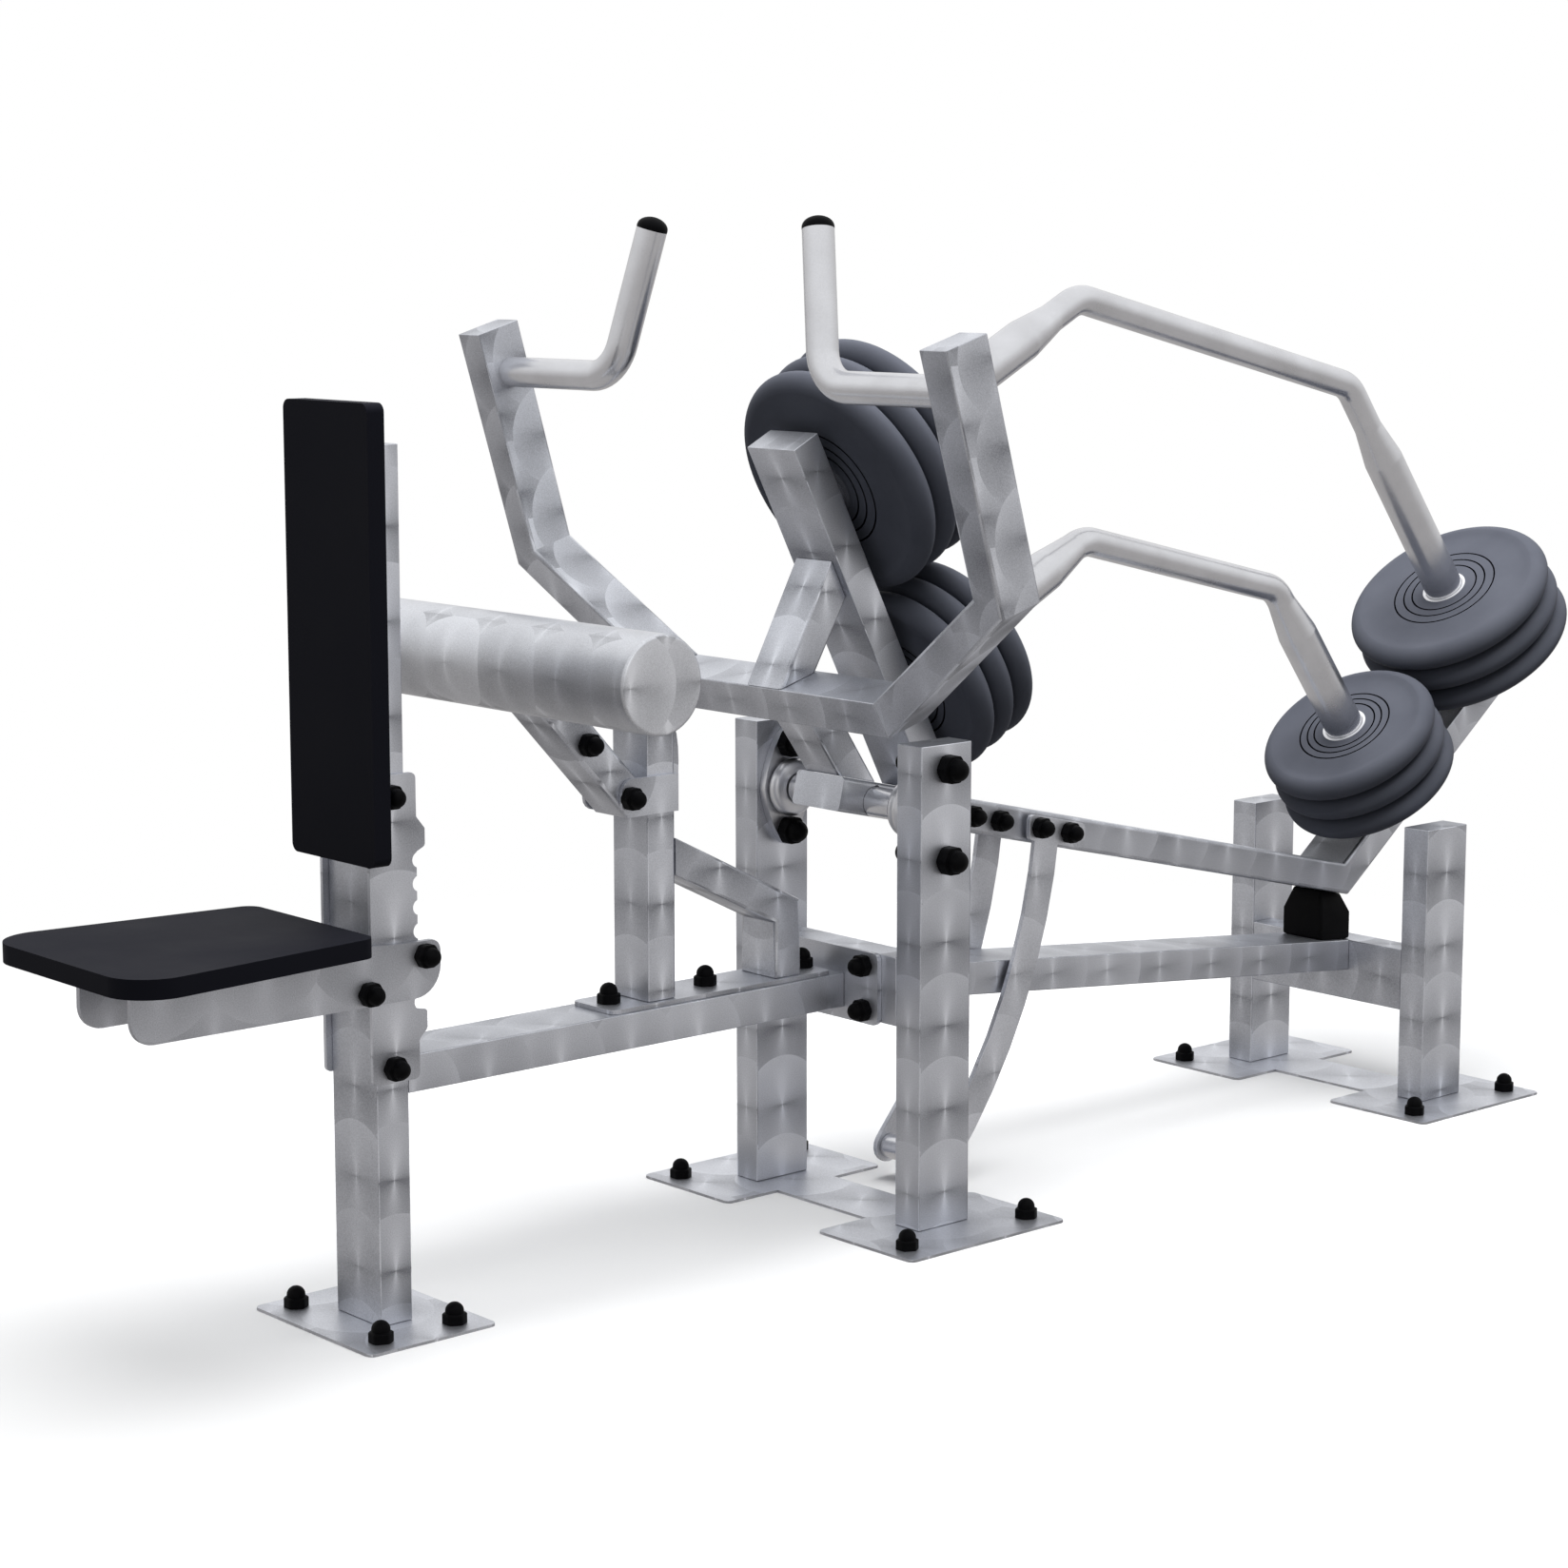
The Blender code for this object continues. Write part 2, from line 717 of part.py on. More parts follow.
def bridge_four(shape, rings, joints):
    """Skin the buffer's levels; its base bends at the joint between two beams."""
    base, shoulder, top = rings
    shape.faces.new((base[0], joints[0], joints[1], base[3]))
    shape.faces.new((joints[0], base[1], base[2], joints[1]))
    shape.faces.new((base[0], shoulder[0], shoulder[1], base[1], joints[0]))
    shape.faces.new((base[2], shoulder[2], shoulder[3], base[3], joints[1]))
    shape.faces.new((base[1], shoulder[1], shoulder[2], base[2]))
    shape.faces.new((base[3], shoulder[3], shoulder[0], base[0]))
    for i in range(4):
        j = (i + 1) % 4
        shape.faces.new((shoulder[i], shoulder[j], top[j], top[i]))
    shape.faces.new(top)


# Chest pad and notched rack


def chest_pad():
    outline = round_corners(box_outline(-PAD_HALF_X, PAD_HALF_X, PAD_LOW, PAD_HIGH), [PAD_CORNER] * 4)
    back = -POST_FRONT_Y + FIT
    shape = extrude(outline, FRONT_VIEW, back, back + PAD_THICK)
    piece = mesh_object("chest_pad", shape, PAD_BLACK)
    soften_rim(piece, PAD_EDGE)
    return piece


def soften_rim(piece, width):
    rim = piece.modifiers.new("rounded rim", "BEVEL")
    rim.width = width
    rim.segments = BEVEL_STEPS
    rim.limit_method = "ANGLE"
    rim.angle_limit = math.radians(60)
    return piece


def notch_arc(centre_z):
    """Points of one round notch, from its lower lip to its upper lip."""
    reach = math.acos((NOTCH_Y - RACK_BACK_Y) / NOTCH_RADIUS)
    points = []
    for step in range(ARC_STEPS * 2 + 1):
        angle = math.pi + reach - 2 * reach * step / (ARC_STEPS * 2)
        points.append(Vector((NOTCH_Y, centre_z)) + heading(angle) * NOTCH_RADIUS)
    return points


def rack_outline():
    """Side outline of a rack plate: hooks above and below a row of notches."""
    hook, lip = RACK_CORNER / 2, NOTCH_RADIUS / 2
    step_z = PAD_LOW - RACK_STEP_GAP
    corners = [(RACK_FRONT_Y, RACK_LOW, RACK_CORNER), (RACK_BACK_Y, RACK_LOW, RACK_CORNER),
               (RACK_BACK_Y, LOW_HOOK_START, 0), (RACK_TIP_Y, LOW_HOOK_LOW, hook),
               (RACK_TIP_Y, LOW_HOOK_HIGH, hook)]
    for index in reversed(range(NOTCH_COUNT)):
        corners += [(p.x, p.y, 0) for p in notch_arc(NOTCH_TOP_Z - index * NOTCH_PITCH)]
    corners += [(RACK_BACK_Y, TOP_HOOK_LOW - lip, 0), (RACK_TIP_Y, TOP_HOOK_LOW, hook),
                (RACK_TIP_Y, TOP_HOOK_HIGH, hook), (RACK_BACK_Y, TOP_HOOK_START, 0),
                (RACK_BACK_Y, RACK_HIGH, RACK_CORNER), (POST_FRONT_Y, RACK_HIGH, RACK_CORNER),
                (POST_FRONT_Y, step_z, 0), (RACK_FRONT_Y, step_z, hook)]
    return round_corners([Vector((y, z)) for y, z, radius in corners], [c[2] for c in corners], 2)


def rack_plate(name, sign):
    x_low, x_high = side_range(sign, WIDE / 2 + FIT, WIDE / 2 + FIT + RACK)
    plate = mesh_object(name, extrude(rack_outline(), SIDE_VIEW, x_low, x_high), GALVANISED)
    outer = sign * (WIDE / 2 + FIT + RACK)
    feet = [((outer, RACK_BOLT_Y, z), (sign, 0, 0)) for z in (RACK_BOLT_LOW, RACK_BOLT_HIGH)]
    return with_nuts(plate, feet)


# Foot drum and what carries it


def strip_top():
    return FRONT_BEAM_LOW + NARROW + FIT + STRIP


def drum_base_strip():
    low = FRONT_BEAM_LOW + NARROW + FIT
    outline = round_corners(box_outline(-STRIP_HALF_X, STRIP_HALF_X, STRIP_FRONT_Y, STRIP_BACK_Y),
                            [PLATE_CORNER] * 4)
    strip = mesh_object("drum_base_strip", extrude(outline, PLAN_VIEW, low, low + STRIP), GALVANISED)
    return with_nuts(strip, [((0, y, strip_top()), (0, 0, 1)) for y in STRIP_BOLT_Y])


def drum_column():
    """Column of the drum, its back face humped where the bracket wraps it."""
    front, back = DRUM_COLUMN_FRONT_Y, DRUM_COLUMN_FRONT_Y + NARROW
    outline = box_outline(front, back, strip_top() + FIT, DRUM_COLUMN_TOP)
    piece = side_bar("drum_column", outline, MEDIUM / 2, (1, 3))
    middle = (COLUMN_HUMP_LOW + COLUMN_HUMP_HIGH) / 2
    half = (COLUMN_HUMP_HIGH - COLUMN_HUMP_LOW) / 2
    steps = ARC_STEPS * 2
    hump = [Vector((back - TUBE_CORNER, middle - half)), Vector((back - TUBE_CORNER, middle + half))]
    for step in range(steps + 1):
        angle = math.pi * step / steps
        hump.insert(1, Vector((back + COLUMN_HUMP * math.sin(angle), middle + half * math.cos(angle))))
    half_x = MEDIUM / 2 - TUBE_CORNER
    guide = mesh_object("drum_column hump", extrude(hump, SIDE_VIEW, -half_x, half_x), None)
    return combine(piece, guide, "UNION")


def drum_strut():
    """Bent strut from the column's back down to the base strip."""
    back_face = DRUM_COLUMN_FRONT_Y + NARROW + FIT
    leg = STRUT_KNEE_Y - STRUT_LEG_DEPTH / 2
    top = Vector((back_face, STRUT_TOP_Z))
    knee = Vector((STRUT_KNEE_Y, STRUT_KNEE_Z))
    along = (knee - top).normalized()
    centre = beside((top, along), -STRUT_LEG_DEPTH / 2)
    corner = meet(centre, upright(leg))
    start = meet(centre, upright(back_face))
    foot = Vector((leg, strip_top() + FIT))
    return side_tube("drum_strut", [start, corner, foot], STRUT_LEG_DEPTH, MEDIUM / 2,
                     upright(back_face), level(foot.y))


def drum_bracket():
    """Sloping bracket tube from the drum down to the column, with gusset plates."""
    along = heading(BRACKET_FALL)
    face = (Vector((BRACKET_LOW_Y, BRACKET_LOW_Z)), along)
    axis = beside(face, NARROW / 2)
    upper_cut = square_cut(Vector((DRUM_Y, DRUM_Z)), along)
    column_face = upright(DRUM_COLUMN_FRONT_Y - FIT)
    right, left = beside(axis, -NARROW / 2), beside(axis, NARROW / 2)
    heel = Vector((DRUM_COLUMN_FRONT_Y - FIT, BRACKET_LOW_Z))
    outline = [meet(right, upper_cut), meet(right, level(BRACKET_LOW_Z)), heel, meet(left, column_face),
               meet(left, upper_cut)]
    piece = side_bar("drum_bracket", outline, MEDIUM / 2, (0, 3))
    gusset_back = DRUM_COLUMN_FRONT_Y + NARROW
    plate = round_corners(box_outline(GUSSET_FRONT_Y, gusset_back, GUSSET_LOW, GUSSET_HIGH),
                          [GUSSET_ROUND, 0, 0, GUSSET_ROUND])
    inner = MEDIUM / 2 + FIT
    for sign, label in ((1, "right"), (-1, "left")):
        x_low, x_high = side_range(sign, inner, inner + GUSSET)
        guide = mesh_object("drum_bracket gusset " + label, extrude(plate, SIDE_VIEW, x_low, x_high), None)
        combine(piece, guide, "UNION")
        web = box_outline(GUSSET_FRONT_Y + GUSSET_ROUND, DRUM_COLUMN_FRONT_Y - GUSSET,
                          GUSSET_LOW + GUSSET, GUSSET_HIGH - GUSSET_ROUND)
        x_low, x_high = side_range(sign, MEDIUM / 2 - GUSSET, inner + GUSSET / 2)
        guide = mesh_object("drum_bracket weld " + label, extrude(web, SIDE_VIEW, x_low, x_high), None)
        combine(piece, guide, "UNION")
    outer = inner + GUSSET
    upper = [((MEDIUM / 2, BRACKET_UPPER_BOLT_Y, BRACKET_UPPER_BOLT_Z), (1, 0, 0))]
    with_nuts(piece, mirrored(upper) + [((outer, BRACKET_BOLT_Y, BRACKET_BOLT_Z), (1, 0, 0))])
    cope = turned([(DRUM_RADIUS + FIT, -MEDIUM / 2 - OVERRUN), (DRUM_RADIUS + FIT, MEDIUM / 2 + OVERRUN)],
                  (0, DRUM_Y, DRUM_Z), (1, 0, 0), FINE_SIDES)
    return combine(piece, mesh_object("drum_bracket cope", cope, None), "DIFFERENCE")


def cross_drum():
    profile = [(DRUM_RADIUS - DRUM_RIM, -DRUM_HALF_X), (DRUM_RADIUS, -DRUM_HALF_X + DRUM_RIM),
               (DRUM_RADIUS, DRUM_HALF_X - DRUM_RIM), (DRUM_RADIUS - DRUM_RIM, DRUM_HALF_X)]
    return mesh_object("cross_drum", turned(profile, (0, DRUM_Y, DRUM_Z), (1, 0, 0), FINE_SIDES), GALVANISED)


# Bearings and the lever's pivot


def bearing(name, sign):
    """Two-bolt flange bearing on a column's inner face, bored for the shaft."""
    face = COLUMN_INNER_X - FIT
    flange = []
    for step in range(ARC_STEPS * 6):
        angle = math.tau * (step + 0.5) / (ARC_STEPS * 6)
        rise = math.sin(angle)
        reach = BEARING_BOLT_RISE + BEARING_EAR_RADIUS
        ear = BEARING_EAR_RADIUS + (BEARING_HUB_RADIUS - BEARING_EAR_RADIUS) * (1 - abs(rise)) ** 0.5
        flange.append(Vector((ear * math.cos(angle), PIVOT_Z + reach * rise)))
    x_low, x_high = side_range(sign, face - BEARING_FLANGE, face)
    piece = mesh_object(name, extrude(flange, SIDE_VIEW, x_low, x_high), BRIGHT_ZINC)
    centre = (0, 0, PIVOT_Z)
    inward = (-sign, 0, 0)
    hub = [(BEARING_SHOULDER_RADIUS, -face + FIT), (BEARING_SHOULDER_RADIUS, -face + BEARING_SHOULDER),
           (BEARING_NOSE_RADIUS, -face + BEARING_DEPTH)]
    combine(piece, mesh_object(name + " hub", turned(hub, centre, inward, ROUND_SIDES), None), "UNION")
    inner = sign * (face - BEARING_FLANGE)
    feet = [((inner, 0, PIVOT_Z + s * BEARING_BOLT_RISE), inward) for s in (-1, 1)]
    with_nuts(piece, feet, BIG_NUT_SCALE)
    bore = turned([(BORE_RADIUS, -face - OVERRUN), (BORE_RADIUS, -face + BEARING_DEPTH + OVERRUN)],
                  centre, inward, ROUND_SIDES)
    return combine(piece, mesh_object(name + " bore", bore, None), "DIFFERENCE")


def pivot_shaft():
    """Shaft through the lever beam, turned down where it runs in the bearings."""
    tube = COLUMN_INNER_X - FIT - BEARING_DEPTH - BEARING_COLLAR_GAP
    tip = COLUMN_INNER_X - FIT - BEARING_COLLAR_GAP
    profile = [(STUB_RADIUS, -tip), (STUB_RADIUS, -tube), (AXLE_RADIUS, -tube), (AXLE_RADIUS, tube),
               (STUB_RADIUS, tube), (STUB_RADIUS, tip)]
    return mesh_object("pivot_shaft", turned(profile, (0, 0, PIVOT_Z), (1, 0, 0), ROUND_SIDES), BRIGHT_ZINC)


# Lever beam, post, leg and brace


def knee_point():
    return meet(lever_axis_line(), upright(KNEE_Y))


def lever_end_face():
    """Face of the upturned end that the weight tubes stand on."""
    return beside((knee_point(), heading(LEVER_END_ANGLE)), NARROW / 2)


def inner_knee():
    return meet(lever_end_face(), beside(lever_axis_line(), NARROW / 2))


def lever_beam():
    knee = knee_point()
    end = far_foot(upper_station() + END_PAST_FOOT)
    front = lever_spot(-LEVER_FRONT)
    piece = side_tube("lever_beam", [front, knee, knee + heading(LEVER_END_ANGLE)], NARROW, WIDE / 2,
                      square_cut(front, heading(LEVER_FALL)), square_cut(end, heading(LEVER_END_ANGLE)))
    feet = []
    for reach in (LEVER_BOLT_FRONT, LEVER_BOLT_REAR):
        spot = lever_spot(reach)
        feet.append(((WIDE / 2, spot.x, spot.y), (1, 0, 0)))
    with_nuts(piece, mirrored(feet))
    bore = turned([(AXLE_RADIUS + FIT * 2, -WIDE / 2 - OVERRUN), (AXLE_RADIUS + FIT * 2, WIDE / 2 + OVERRUN)],
                  (0, 0, PIVOT_Z), (1, 0, 0), ROUND_SIDES)
    return combine(piece, mesh_object("lever_beam shaft hole", bore, None), "DIFFERENCE")


def post_axis_line():
    top_line = beside(lever_axis_line(), NARROW / 2)
    foot = meet(top_line, upright(LEVER_POST_Y))
    return (foot, leaning(POST_LEAN))


def post_back_face():
    """Back face of the lever post, turned towards the weights."""
    return beside(post_axis_line(), -NARROW / 2)


def lever_post():
    axis = post_axis_line()
    low_cut = beside(lever_axis_line(), NARROW / 2 + FIT)
    top = meet(axis, level(near_foot(upper_station()).y + POST_PAST_FOOT))
    return side_tube("lever_post", along_line(axis), NARROW, WIDE / 2, low_cut, square_cut(top, axis[1]))


def frame_section():
    """Front-top corner and in-plane directions of the handle frame in side view."""
    back = heading(FRAME_LEAN)
    up = leaning(FRAME_LEAN)
    return back * FRAME_FRONT + up * CROSS_TOP, back, up


def lever_leg():
    corner, back, up = frame_section()
    axis = (Vector((LEG_START_Y, PIVOT_Z)), leaning(LEG_LEAN))
    under = (corner - up * (NARROW + FIT), back)
    low_cut = beside(lever_axis_line(), NARROW / 2 + FIT)
    return side_tube("lever_leg", along_line(axis), NARROW, MEDIUM / 2, low_cut, under)


def lever_brace():
    """Short brace from the cross member's top to the front of the post."""
    corner, back, up = frame_section()
    along = -leaning(-BRACE_LEAN)
    front = (corner + up * FIT, along)
    axis = beside(front, NARROW / 2)
    post_face = beside(post_axis_line(), NARROW / 2 + FIT)
    low_cut = (corner + up * FIT, back)
    return side_tube("lever_brace", along_line(axis), NARROW, MEDIUM / 2, low_cut, post_face)


def handle_view():
    """View square to the handle frame: across, up in its plane, towards the front."""
    lean_c, lean_s = math.cos(FRAME_LEAN), math.sin(FRAME_LEAN)
    return Matrix(((1, 0, 0), (0, -lean_s, -lean_c), (0, lean_c, -lean_s)))


def frame_corner_low():
    return Vector((CROSS_HALF_X, CROSS_TOP - NARROW / 2))


def arm_mitre():
    """Mitre line between the cross member and the arm's sloping part."""
    low = frame_corner_low()
    bend = Vector((ARM_X, ARM_BEND))
    slope = (bend - low).normalized()
    return (low, (slope - Vector((1, 0))).normalized())


def cross_member():
    right_cut = arm_mitre()
    left_cut = (Vector((-right_cut[0].x, right_cut[0].y)), Vector((-right_cut[1].x, right_cut[1].y)))
    axis = level(CROSS_TOP - NARROW / 2)
    shape = tube_shape(along_line(axis), NARROW, handle_view(), -FRAME_FRONT - MEDIUM, -FRAME_FRONT,
                       left_cut, right_cut)
    return mesh_object("cross_member", shape, GALVANISED)


def handle_arm(name, sign):
    """Arm that slopes out from the cross member and then stands up."""
    low = frame_corner_low()
    bend = Vector((ARM_X, ARM_BEND))
    point, along = arm_mitre()
    start = point + (bend - low).normalized() * FIT
    route = [Vector((sign * p.x, p.y)) for p in (low, bend, Vector((ARM_X, ARM_TOP)))]
    first_cut = (Vector((sign * start.x, start.y)), Vector((sign * along.x, along.y)))
    shape = tube_shape(route, NARROW, handle_view(), -FRAME_FRONT - MEDIUM, -FRAME_FRONT,
                       first_cut, level(ARM_TOP))
    return mesh_object(name, shape, GALVANISED)


def grip_ends(sign):
    corner = Vector((sign * HANDLE_CORNER_X, HANDLE_Y, HANDLE_Z))
    top = Vector((sign * GRIP_TOP_X, GRIP_TOP_Y, GRIP_TOP_Z))
    return corner, top


def handle(name, sign):
    start = Vector((sign * (ARM_X - NARROW / 2 - FIT), HANDLE_Y, HANDLE_Z))
    corner, top = grip_ends(sign)
    radii = [HANDLE_RADIUS] * 3
    return mesh_object(name, swept_tube([start, corner, top], radii, HANDLE_BEND, HANDLE_SIDES), BRIGHT_ZINC)


def handle_cap(name, sign):
    """Domed black cap that closes the grip's upper end."""
    corner, top = grip_ends(sign)
    along = (top - corner).normalized()
    profile = [(GRIP_CAP_LIP, FIT), (GRIP_CAP_LIP, FIT + GRIP_CAP_BAND)]
    for share in CAP_ARC_SHARES:
        angle = share * math.pi / 2
        profile.append((GRIP_CAP_LIP * math.cos(angle), GRIP_CAP_HEIGHT * math.sin(angle)))
    profile.append((0, GRIP_CAP_HEIGHT))
    return mesh_object(name, turned(profile, top, along, HANDLE_SIDES), CAP_BLACK)


# Weight tubes and discs


def upper_station():
    """Distance of the upper tube's feet from the knee: the discs lie side by side."""
    return LOWER_FOOT + LOWER_DISC_RADIUS + DISC_SIDE_GAP + UPPER_DISC_RADIUS


def near_foot(station):
    """Foot of a weight tube on the post, as far up it as the far foot is out."""
    line = post_back_face()
    offset = station - LOWER_FOOT
    low = meet(line, level(LOWER_NEAR_Z))
    return low + line[1] * offset


def far_foot(station):
    return inner_knee() + heading(LEVER_END_ANGLE) * station


def near_normal():
    """Direction in which a weight tube leaves the post."""
    return heading(POST_LEAN)


def far_normal():
    """Direction in which a weight tube leaves the lever's upturned end."""
    return leaning(LEVER_END_ANGLE)


def weight_tube(name, station, rise, thick_near, thick_far, collar):
    """Bent tube with thick ends that the discs ride on, and a stop collar at each foot."""
    near, far = near_foot(station), far_foot(station)
    run_height = leaning(LEVER_FALL) * (station + rise)
    run = (Vector((0, PIVOT_Z + LEVER_RISE)) + run_height, heading(LEVER_FALL))
    in_side, out_side = near_normal(), far_normal()
    near_corner = meet((near, in_side), run)
    far_corner = meet((far, out_side), run)
    plan = [(near + in_side * FIT, COLLAR_RADIUS), (near + in_side * collar, COLLAR_RADIUS),
            (near + in_side * collar, TUBE_THICK), (near + in_side * thick_near, TUBE_THICK),
            (near + in_side * (thick_near + TAPER), TUBE_THIN), (near_corner, TUBE_THIN),
            (far_corner, TUBE_THIN), (far + out_side * (thick_far + TAPER), TUBE_THIN),
            (far + out_side * thick_far, TUBE_THICK), (far + out_side * collar, TUBE_THICK),
            (far + out_side * collar, COLLAR_RADIUS), (far + out_side * FIT, COLLAR_RADIUS)]
    return mesh_object(name, planar_tube(plan), BRIGHT_ZINC)


def planar_tube(plan):
    """Round bar in the X = 0 plane through (point, radius) pairs, bends rounded."""
    stations = []
    for i, (point, radius) in enumerate(plan):
        before = point - plan[i - 1][0] if i else plan[1][0] - point
        after = plan[i + 1][0] - point if i + 1 < len(plan) else before
        before = before if before.length > FIT else after
        after = after if after.length > FIT else before
        before, after = before.normalized(), after.normalized()
        turn = before.angle(after)
        if turn < SHARP / 10:
            stations.append((point, before, radius))
            continue
        side = 1 if before.x * after.y - before.y * after.x > 0 else -1
        start = point - before * (TUBE_BEND * math.tan(turn / 2))
        centre = start + Vector((-before.y, before.x)) * (side * TUBE_BEND)
        for step in range(ARC_STEPS + 1):
            spin = Matrix.Rotation(side * turn * step / ARC_STEPS, 2)
            stations.append((centre + spin @ (start - centre), spin @ before, radius))
    shape = bmesh.new()
    rings = []
    for centre, along, radius in stations:
        ring = []
        for angle in even_angles(TUBE_SIDES):
            lift = Vector((-along.y, along.x)) * (radius * math.sin(angle))
            ring.append(shape.verts.new((radius * math.cos(angle), centre.x + lift.x, centre.y + lift.y)))
        rings.append(ring)
    bridge(shape, rings, False)
    return shape


def disc_profile(radius, thick, grooves):
    """Half section of a weight disc: raised hub ring, grooved flat, shallow dish, round rim."""
    half = thick / 2
    flat, rim = radius * DISC_FLAT_SHARE, radius * DISC_RIM_SHARE
    round_off = (radius * DISC_ROUND_SHARE, half * DISC_SHOULDER_SHARE)
    outer = [(flat, half - HUB_STEP), (radius * DISC_DISH_SHARE, half - DISC_DISH), (rim, half - HUB_STEP)]
    cuts = []
    for middle in grooves:
        face = half - HUB_STEP * (middle - HUB_RING) / (flat - HUB_RING)
        cuts += [(middle - GROOVE_HALF, face), (middle, face - GROOVE_DEPTH), (middle + GROOVE_HALF, face)]
    front = [(DISC_BORE, half), (HUB_RING, half)] + cuts + outer + [round_off]
    back = [(DISC_BORE, half), (HUB_RING, half)] + outer + [round_off]
    return front + [(radius, 0)] + [(r, -h) for r, h in reversed(back)]


def weight_disc(name, foot, normal, distance, profile):
    """Disc whose middle plane lies the given distance out along its tube."""
    spot = foot + normal * distance
    piece = mesh_object(name, turned_in_side_view(profile, normal), DISC_RUBBER)
    return piece, Vector((0, spot.x, spot.y))


def turned_in_side_view(profile, normal):
    """Ring turned about an axis in the X = 0 plane, its facets in line with the tube's."""
    shape = bmesh.new()
    rings = []
    lift = Vector((-normal.y, normal.x))
    for radius, height in profile:
        ring = []
        for angle in even_angles(ROUND_SIDES):
            spot = normal * height + lift * (radius * math.sin(angle))
            ring.append(shape.verts.new((radius * math.cos(angle), spot.x, spot.y)))
        rings.append(ring)
    bridge(shape, rings, True)
    return shape


def disc_stack(prefix, foot, normal, sizes, lever):
    """Three discs stacked against the collar, each hung on the one below it; the face that
    shows is the grooved one."""
    radius, thick, collar, grooves = sizes
    holder = lever
    holder_spot = Vector(lever.location)
    for index, label in enumerate(("inner", "middle", "outer")):
        profile = disc_profile(radius, thick, grooves if label == "outer" else ())
        distance = collar + FIT + thick / 2 + index * (thick + FIT)
        piece, spot = weight_disc(prefix + "_disc_" + label, foot, normal, distance, profile)
        piece.parent = holder
        piece.location = spot - holder_spot
        holder, holder_spot = piece, spot


# Stirrup


def stirrup_centre(top, low):
    """Centre of the band's arc through its upper and lower ends."""
    chord = top - low
    rise = math.sqrt(STIRRUP_ARC_RADIUS ** 2 - (chord.length / 2) ** 2)
    return (top + low) / 2 + Vector((-chord.y, chord.x)).normalized() * rise


def arc_line(centre, radius, start, end):
    turn = (end - start) / STIRRUP_STEPS
    return [centre + heading(start + turn * i) * radius for i in range(STIRRUP_STEPS + 1)]


def stirrup_outline():
    """Curved flat bar with a wide foot on the lever and a round lower end."""
    lower = Vector((STIRRUP_END_Y, STIRRUP_END_Z))
    upper = lever_spot(STIRRUP_TOP)
    centre = stirrup_centre(upper, lower)
    start = math.atan2(upper.y - centre.y, upper.x - centre.x)
    end = math.atan2(lower.y - centre.y, lower.x - centre.x)
    half = STIRRUP_WIDE / 2
    back = arc_line(centre, STIRRUP_ARC_RADIUS + half, end, start)
    front = arc_line(centre, STIRRUP_ARC_RADIUS - half, start, end)
    top_line = beside(lever_axis_line(), STIRRUP_FOOT_ABOVE)
    low_line = beside(lever_axis_line(), -STIRRUP_FOOT_BELOW)
    fore = upright(lever_spot(STIRRUP_BOLT_FRONT).x - STIRRUP_FOOT_FORE)
    rear = upright(lever_spot(STIRRUP_BOLT_REAR).x + STIRRUP_FOOT_AFT)
    foot = [meet(low_line, fore), meet(low_line, rear), meet(top_line, rear), meet(top_line, fore)]
    turn = math.pi / STIRRUP_STEPS
    tip = [lower + heading(end + math.pi + turn * i) * half for i in range(1, STIRRUP_STEPS)]
    return tip + back + front, round_corners(foot, [RACK_CORNER] * 4, 2)


def stirrup_bar(name, sign):
    band, foot = stirrup_outline()
    inner = WIDE / 2 + FIT + STIRRUP_SPACER
    x_low, x_high = side_range(sign, inner, inner + LEVER_PLATE)
    piece = mesh_object(name, extrude(foot, SIDE_VIEW, x_low, x_high), GALVANISED)
    guide = mesh_object(name + " band", extrude(band, SIDE_VIEW, x_low, x_high), None)
    combine(piece, guide, "UNION")
    feet = []
    for reach, label in ((STIRRUP_BOLT_FRONT, " front spacer"), (STIRRUP_BOLT_REAR, " rear spacer")):
        spot = lever_spot(reach)
        feet.append(((sign * (inner + LEVER_PLATE), spot.x, spot.y), (sign, 0, 0)))
        spacer = turned([(SPACER_RADIUS, WIDE / 2 + FIT), (SPACER_RADIUS, inner + NUT_SINK)],
                        (0, spot.x, spot.y), (sign, 0, 0), ROD_SIDES)
        combine(piece, mesh_object(name + label, spacer, None), "UNION")
    return with_nuts(piece, feet)


def stirrup_pin():
    half = WIDE / 2 + STIRRUP_SPACER
    profile = [(STIRRUP_PIN, -half), (STIRRUP_PIN, half)]
    shape = turned(profile, (0, STIRRUP_END_Y, STIRRUP_END_Z), (1, 0, 0), ROD_SIDES)
    return mesh_object("stirrup_pin", shape, BRIGHT_ZINC)


# Seat


def seat_rod_z():
    return NOTCH_TOP_Z - SEAT_ROD_NOTCH * NOTCH_PITCH


def seat_arm_inner():
    return WIDE / 2 + FIT + RACK + FIT


